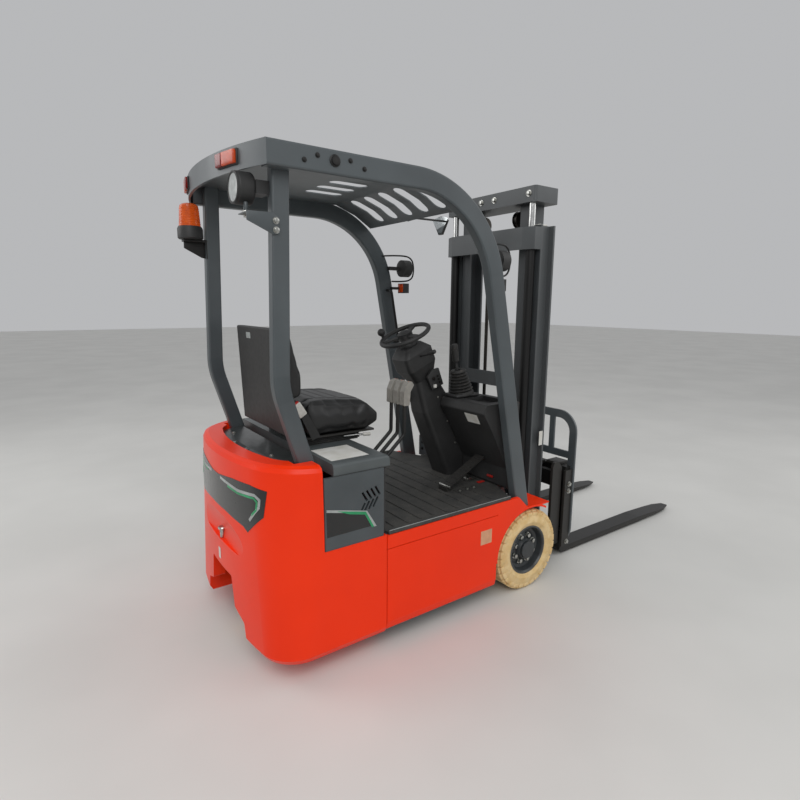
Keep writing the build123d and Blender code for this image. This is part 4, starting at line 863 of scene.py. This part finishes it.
@dataclass
class Controls:
    """Detail of the steering head, parking brake, hydraulic levers and pedal."""

    column_foot: Flat = (-0.095, 0.56)
    lever_x: float = -0.8665
    pedal_lean: float = math.radians(27)
    lean: float = -0.4158
    rise: float = 0.9095

    def _at(self, along: float, y: float, out: float = 0.0) -> Point:
        """Point at a distance along the column, out to its rear side."""
        x, z = self.column_foot
        return (AXLE_X + x + self.lean * along - self.rise * out, y, z + self.rise * along + self.lean * out)

    def build(self) -> None:
        """Make all control details."""
        self._steering()
        self._brake()
        self._levers()
        self._pedal()

    def _steering(self) -> None:
        """Stalk, switch panel, hub cap and collar of the steering head."""
        stalk = bar([self._at(0.705, -0.066), self._at(0.712, -0.11), self._at(0.73, -0.165)], 0.0055, 5)
        end = drum(self._at(0.736, -0.182), (0.02, -0.9, 0.35), 0.0105, 0.042, 20, 0.004)
        keep(join([stalk, end]), "signal_stalk", DARK)
        outline = ((0.505, -0.07), (0.6, -0.075), (0.61, -0.03), (0.59, 0.012), (0.51, 0.01))
        panel = plate([self._at(along, -0.076, out) for along, out in outline], 0.016, 0.004)
        keep(panel, "switch_panel", DARK)
        lock = drum(self._at(0.565, -0.087, -0.02), (0, -1, 0), 0.01, 0.006, 24, 0.002)
        lamps = [drum(self._at(0.53 + 0.018 * i, -0.087, -0.048), (0, -1, 0), 0.005, 0.004, 16, 0.001)
                 for i in range(3)]
        keep(join([lock] + lamps), "key_lock", CHAIN)
        switch = slab(*self._box(self._at(0.525, -0.087, -0.012), 0.009, 0.006, 0.009), 0.003)
        keep(switch, "panel_switch", BLANK)
        box = slab(*self._box(self._at(0.485, 0.08, 0.08), 0.03, 0.02, 0.027), 0.007, 3)
        keep(box, "column_side_box", ("hood_grey_plastic", "black_plastic"))
        screws = []
        for along in (0.16, 0.3, 0.45):
            start = self._at(along, -0.4, -0.02)
            screws.append(hex_bolt(*land("steering_column", start, (0, 1, 0)), 0.008, 0.003))
        keep(join(screws), "column_screws", BOLTS)
        axis = (self.lean, 0, self.rise)
        cap = lathe([(CORE, 0.0), (0.036, 0.0), (0.037, 0.004), (0.031, 0.009), (0.012, 0.0115), (CORE, 0.012)],
                    self._at(0.8285, 0.0), axis, 48)
        keep(cap, "hand_wheel_cap", DARK, body="steering_wheel")
        collar = lathe([(0.03, 0.0), (0.044, 0.002), (0.046, 0.012), (0.04, 0.024), (0.03, 0.026)],
                       self._at(0.757, 0.0), axis, 48)
        keep(collar, "column_collar", DARK)

    @staticmethod
    def _box(middle: Point, x: float, y: float, z: float) -> tuple[Point, Point]:
        """Corners of a box about a point."""
        return (middle[0] - x, middle[1] - y, middle[2] - z), (middle[0] + x, middle[1] + y, middle[2] + z)

    @staticmethod
    def _brake() -> None:
        """Ribbed boot of the parking brake and the moulded grip of its handle."""
        profile = [(0.0165, 0.137), (0.036, 0.137)]
        for index in range(7):
            z = 0.13 - index * 0.0158
            r = 0.0375 + index * 0.0034
            profile += [(r + 0.0065, z - 0.0035), (r, z - 0.0125)]
        profile += [(0.066, 0.014), (0.067, 0.004), (0.0165, 0.004)]
        boot = lathe(profile, (-0.3075, -0.14, 0.9925), (-0.2, 0.03, 1), 56)
        keep(boot, "brake_boot", BELLOWS)
        base = slab((-0.3885, -0.199, 0.9858), (-0.2335, -0.0885, 1.004), 0.008, 3)
        keep(base, "brake_boot_base", DARK)
        grip = lathe([(CORE, -0.047), (0.012, -0.047), (0.0175, -0.042), (0.0165, -0.02), (0.0185, 0.0),
                      (0.0168, 0.02), (0.0185, 0.038), (0.0135, 0.047), (CORE, 0.048)],
                     (-0.3585, -0.14, 1.215), (-0.139, 0, 0.99), 40)
        keep(grip, "brake_grip", BELLOWS)

    def _levers(self) -> None:
        """Boots at the foot of the levers and caps on their grips."""
        boots, caps = [], []
        for y in (-0.3, -0.35, -0.4):
            boots.append(lathe([(0.0085, 0.0), (0.022, 0.0), (0.021, 0.004), (0.016, 0.006), (0.018, 0.01),
                                (0.013, 0.013), (0.0145, 0.017), (0.0105, 0.022), (0.0085, 0.022)],
                               (-1.0283, y, 0.8), AHEAD, 32))
            top, _ = land("lever_grips", (self.lever_x + 0.02, y, 1.4), DOWN)
            caps.append(lathe([(CORE, 0.004), (0.007, 0.0035), (0.01, 0.001), (0.0105, -0.004), (CORE, -0.006)],
                              top, (-0.4, 0, 1), 28))
        keep(join(boots), "lever_boots", BELLOWS)
        keep(join(caps), "grip_buttons", ("orange_grip_cap", "grey_plastic"))

    def _pedal(self) -> None:
        """Ribs on the accelerator plate, its hinge and the sensor beside it."""
        ribs = []
        for index in range(7):
            along = -0.105 + index * 0.035
            x = AXLE_X - 0.235 + along * math.cos(self.pedal_lean)
            z = 0.617 + along * math.sin(self.pedal_lean)
            ribs.append(bar([(x, -0.272, z), (x, -0.245, z), (x, -0.218, z)], 0.0026, 3))
        keep(join(ribs), "pedal_ribs", BELLOWS)
        hinge = drum((AXLE_X - 0.355, -0.245, 0.557), (0, 1, 0), 0.007, 0.078, 20, 0.001)
        sensor = slab((-0.315, -0.212, FLOOR_Z), (-0.255, -0.18, 0.552), 0.004)
        bolts = [hex_bolt((x, -0.302, FLOOR_Z), UP, 0.012, 0.005) for x in (-0.445, -0.395, -0.35)]
        keep(join([hinge, sensor] + bolts), "pedal_hinge_and_sensor", BOLTS)
        clips = [slab((-0.285, -0.272, FLOOR_Z), (-0.241, -0.252, 0.54), 0.003),
                 slab((-0.24, -0.322, 0.568), (-0.2328, -0.28, 0.581), 0.003)]
        keep(join(clips), "floor_clips", ("red_switch_plastic", "black_plastic"))


@dataclass
class Lamps:
    """Lenses, bezels and brackets of every lamp."""

    beacon: Flat = (-1.5085, 0.385)
    band_middle: float = -0.2625
    band_radius: float = 1.302

    def build(self) -> None:
        """Make all lamps."""
        self._beacon()
        self._rear_strips()
        self._work_lamp()
        self._front()
        self._mirror()

    def _beacon(self) -> None:
        """Ribbed amber dome on a dark base and a bent bracket."""
        x, y = self.beacon
        base = lathe([(CORE, 1.745), (0.05, 1.745), (0.055, 1.75), (0.055, 1.79), (0.05, 1.8), (CORE, 1.8)],
                     (x, y, 0), UP, 64)
        keep(base, "beacon_base", DARK, "beacon")
        rings = [(CORE, 1.8)]
        for index in range(9):
            z = 1.801 + index * 0.0092
            r = 0.047 - 0.0006 * index
            rings += [(r, z), (r, z + 0.005), (r - 0.0016, z + 0.0065), (r - 0.0016, z + 0.0085)]
        rings += [(0.04, 1.89), (0.03, 1.898), (0.014, 1.902), (CORE, 1.903)]
        keep(lathe(rings, (x, y, 0), UP, 72), "beacon_dome", ("amber_lens", "beacon_amber"), "beacon")
        arm = slab((x - 0.034, 0.372, 1.734), (-1.439, 0.412, 1.7455), 0.002)
        outline = ((x - 0.03, 1.7345), (-1.439, 1.7345), (-1.439, 1.662), (-1.462, 1.666), (x - 0.03, 1.706))
        fin = plate([(along, 0.392, z) for along, z in outline], 0.005, 0.001)
        foot = slab((-1.444, 0.372, 1.66), (-1.439, 0.412, 1.744), 0.002)
        keep(join([arm, fin, foot]), "beacon_bracket", BLACK, "beacon")

    def _rear_strips(self) -> None:
        """Red and amber lenses in a dark curved housing on each side."""
        red, amber, dark = [], [], []
        inner = self.band_radius + 0.0004
        for side in SIDES:
            for store, ends, radii, heights in (
                    (dark, (0.2, 0.33), (inner, inner + 0.006), (1.927, 1.981)),
                    (red, (0.204, 0.246), (inner + 0.005, inner + 0.0155), (1.931, 1.977)),
                    (amber, (0.248, 0.326), (inner + 0.005, inner + 0.0155), (1.931, 1.977))):
                span = tuple(sorted(side * end for end in ends))
                store.append(arc_block(self.band_middle, radii, span, heights))
        keep(join(dark), "rear_lamp_housings", DARK, "rear_lamps")
        keep(join(red), "rear_lamp_red", ("red_lens", "lamp_red"), "rear_lamps")
        keep(join(amber), "rear_lamp_amber", ORANGE, "rear_lamps")

    @staticmethod
    def _work_lamp() -> None:
        """Lens and bezel of the rear work lamp, with its bolted bracket."""
        spot = (-1.5425, -0.33, 1.85)
        bezel = lathe([(0.046, -0.003), (0.0545, -0.003), (0.0545, 0.004), (0.05, 0.006), (0.046, 0.004)],
                      spot, BACK, 56)
        keep(bezel, "work_lamp_bezel", DARK)
        lens = lathe([(CORE, 0.0005), (0.0465, 0.0005), (0.046, 0.003), (0.024, 0.0048), (CORE, 0.0053)],
                     spot, BACK, 56)
        keep(lens, "work_lamp_lens", GLASS)
        side_y = -0.4197
        outline = ((-1.4225, 1.752), (-1.4225, 1.698), (-1.4425, 1.694), (-1.535, 1.735), (-1.535, 1.765),
                   (-1.4425, 1.768))
        cheek = plate([(x, side_y, z) for x, z in outline], 0.004, 0.001)
        shelf = slab((-1.535, -0.421, 1.76), (-1.495, -0.34, 1.764), 0.001, 1)
        stem = drum((-1.513, -0.356, 1.783), UP, 0.0075, 0.04, 24, 0.002)
        arm = join([cheek, shelf, stem])
        bolts = [hex_bolt((-1.4323, side_y - 0.0022, z), (0, -1, 0), 0.0165, 0.007) for z in (1.7405, 1.7095)]
        bolts.append(hex_bolt((-1.513, -0.356, 1.76), DOWN, 0.016, 0.007))
        bolts.append(drum((-1.513, -0.356, 1.769), UP, 0.0125, 0.009, 6, 0.001))
        keep(arm, "work_lamp_bracket", ("grey_frame_paint", "frame_paint"))
        keep(join(bolts), "work_lamp_bolts", BOLTS)

    @staticmethod
    def _front() -> None:
        """Lenses of the head lamps and turn signals, and the rods round both lamps."""
        glass, orange, rods = [], [], []
        for side in SIDES:
            glass.append(lathe([(CORE, 0.0), (0.043, 0.0), (0.042, 0.003), (0.022, 0.0055), (CORE, 0.006)],
                               (-0.2825, side * 0.385, 1.665), AHEAD, 48))
            low_y = side * 0.3875 - 0.0235
            for rear, front, bevel in ((-0.2932, -0.2895, 0.0015), (-0.3345, -0.3315, 0.0012)):
                orange.append(slab((rear, low_y, 1.529), (front, low_y + 0.047, 1.576), bevel))
        keep(join(glass), "head_lamp_glass", GLASS)
        keep(join(orange), "turn_signal_lenses", ORANGE)
        line = ((-0.44, 0.42, 1.733), (-0.33, 0.4, 1.742), (-0.255, 0.385, 1.73), (-0.238, 0.385, 1.66),
                (-0.255, 0.385, 1.6), (-0.33, 0.4, 1.59), (-0.375, 0.42, 1.592))
        for side in SIDES:
            rods.append(bar([(x, side * y, z) for x, y, z in line], 0.0045, 4))
        keep(join(rods), "lamp_guard_rods", BLACK)

    @staticmethod
    def _mirror() -> None:
        """Reflecting glass on the rear side of the mirror's shell."""
        outline = ((0.064, 1.8335), (0.086, 1.8335), (0.138, 1.9065), (0.108, 1.9165), (0.075, 1.9185),
                   (0.042, 1.9165), (0.012, 1.9065))
        keep(plate([(-0.299, y, z) for y, z in outline], 0.0014), "mirror_pane", ("mirror_glass", "bright_rod"))


@dataclass
class MastGear:
    """Hose clip of the mast and the chain anchors of the carriage."""

    def build(self) -> None:
        """Make the mast's small gear."""
        clip = slab((0.06, -0.3, 1.8665), (0.115, -0.262, 1.8745), 0.002)
        keep(clip, "hose_clip", BLANK, body="outer_mast")
        anchors = []
        for side in SIDES:
            for z, radius, length, count in ((0.394, 0.007, 0.046, 20), (0.405, 0.0125, 0.01, 6)):
                anchors.append(drum((0.1225, side * 0.135, z), UP, radius, length, count, 0.001))
        keep(join(anchors), "chain_anchors", BOLTS, body="carriage")


@dataclass
class Studio:
    """Floor, soft light and the camera at the photograph's place."""

    eye: Point = (-2.1869, -2.2244, 1.4643)
    yaw: float = 0.9531
    pitch: float = -0.1787
    roll: float = 0.0073
    lens_px: float = 533.82
    width_px: int = 800
    sensor_mm: float = 36

    def build(self) -> None:
        """Make the stage."""
        bpy.ops.mesh.primitive_plane_add(size=60, location=(0, 0, 0))
        floor = bpy.context.object
        floor.name = "floor"
        floor.data.materials.append(PAINTER.get("pale_studio_floor"))
        world = bpy.data.worlds.new("studio")
        world.use_nodes = True
        world.node_tree.nodes["Background"].inputs[0].default_value = (0.92, 0.93, 0.95, 1)
        world.node_tree.nodes["Background"].inputs[1].default_value = 0.52
        bpy.context.scene.world = world
        for name, place, size, power in (("key", (-3.2, -4.2, 5.0), 4.0, 150), ("fill", (4.0, -3.0, 4.2), 4.0, 60),
                                         ("rear", (-4.5, 3.0, 3.6), 3.0, 60)):
            bpy.ops.object.light_add(type="AREA", location=place)
            lamp = bpy.context.object
            lamp.name = name + "_light"
            lamp.data.size = size
            lamp.data.energy = power
            lamp.rotation_euler = (Vector((0, 0, 0.8)) - Vector(place)).to_track_quat("-Z", "Y").to_euler()
        forward = Vector((math.cos(self.pitch) * math.cos(self.yaw), math.cos(self.pitch) * math.sin(self.yaw),
                          math.sin(self.pitch)))
        bpy.ops.object.camera_add(location=self.eye)
        camera = bpy.context.object
        camera.rotation_mode = "QUATERNION"
        camera.rotation_quaternion = forward.to_track_quat("-Z", "Y") @ Euler((0, 0, self.roll)).to_quaternion()
        camera.data.lens = self.lens_px * self.sensor_mm / self.width_px
        camera.data.sensor_width = self.sensor_mm
        camera.data.clip_end = 200
        bpy.context.scene.camera = camera
        bpy.context.scene.view_settings.view_transform = "Standard"


def main() -> None:
    """Build the whole scene."""
    logging.basicConfig(level=logging.INFO, format="%(message)s")
    dress_nodes()
    LOG.info("nodes dressed")
    Seat().build()
    for side in SIDES:
        FrontWheel(side).build()
    LiftChains().build()
    for group in (Decals(), Trim(), SeatGear(), Controls(), Lamps(), MastGear()):
        group.build()
        LOG.info("%s made", type(group).__name__)
    Studio().build()


if __name__ == "__main__":
    main()
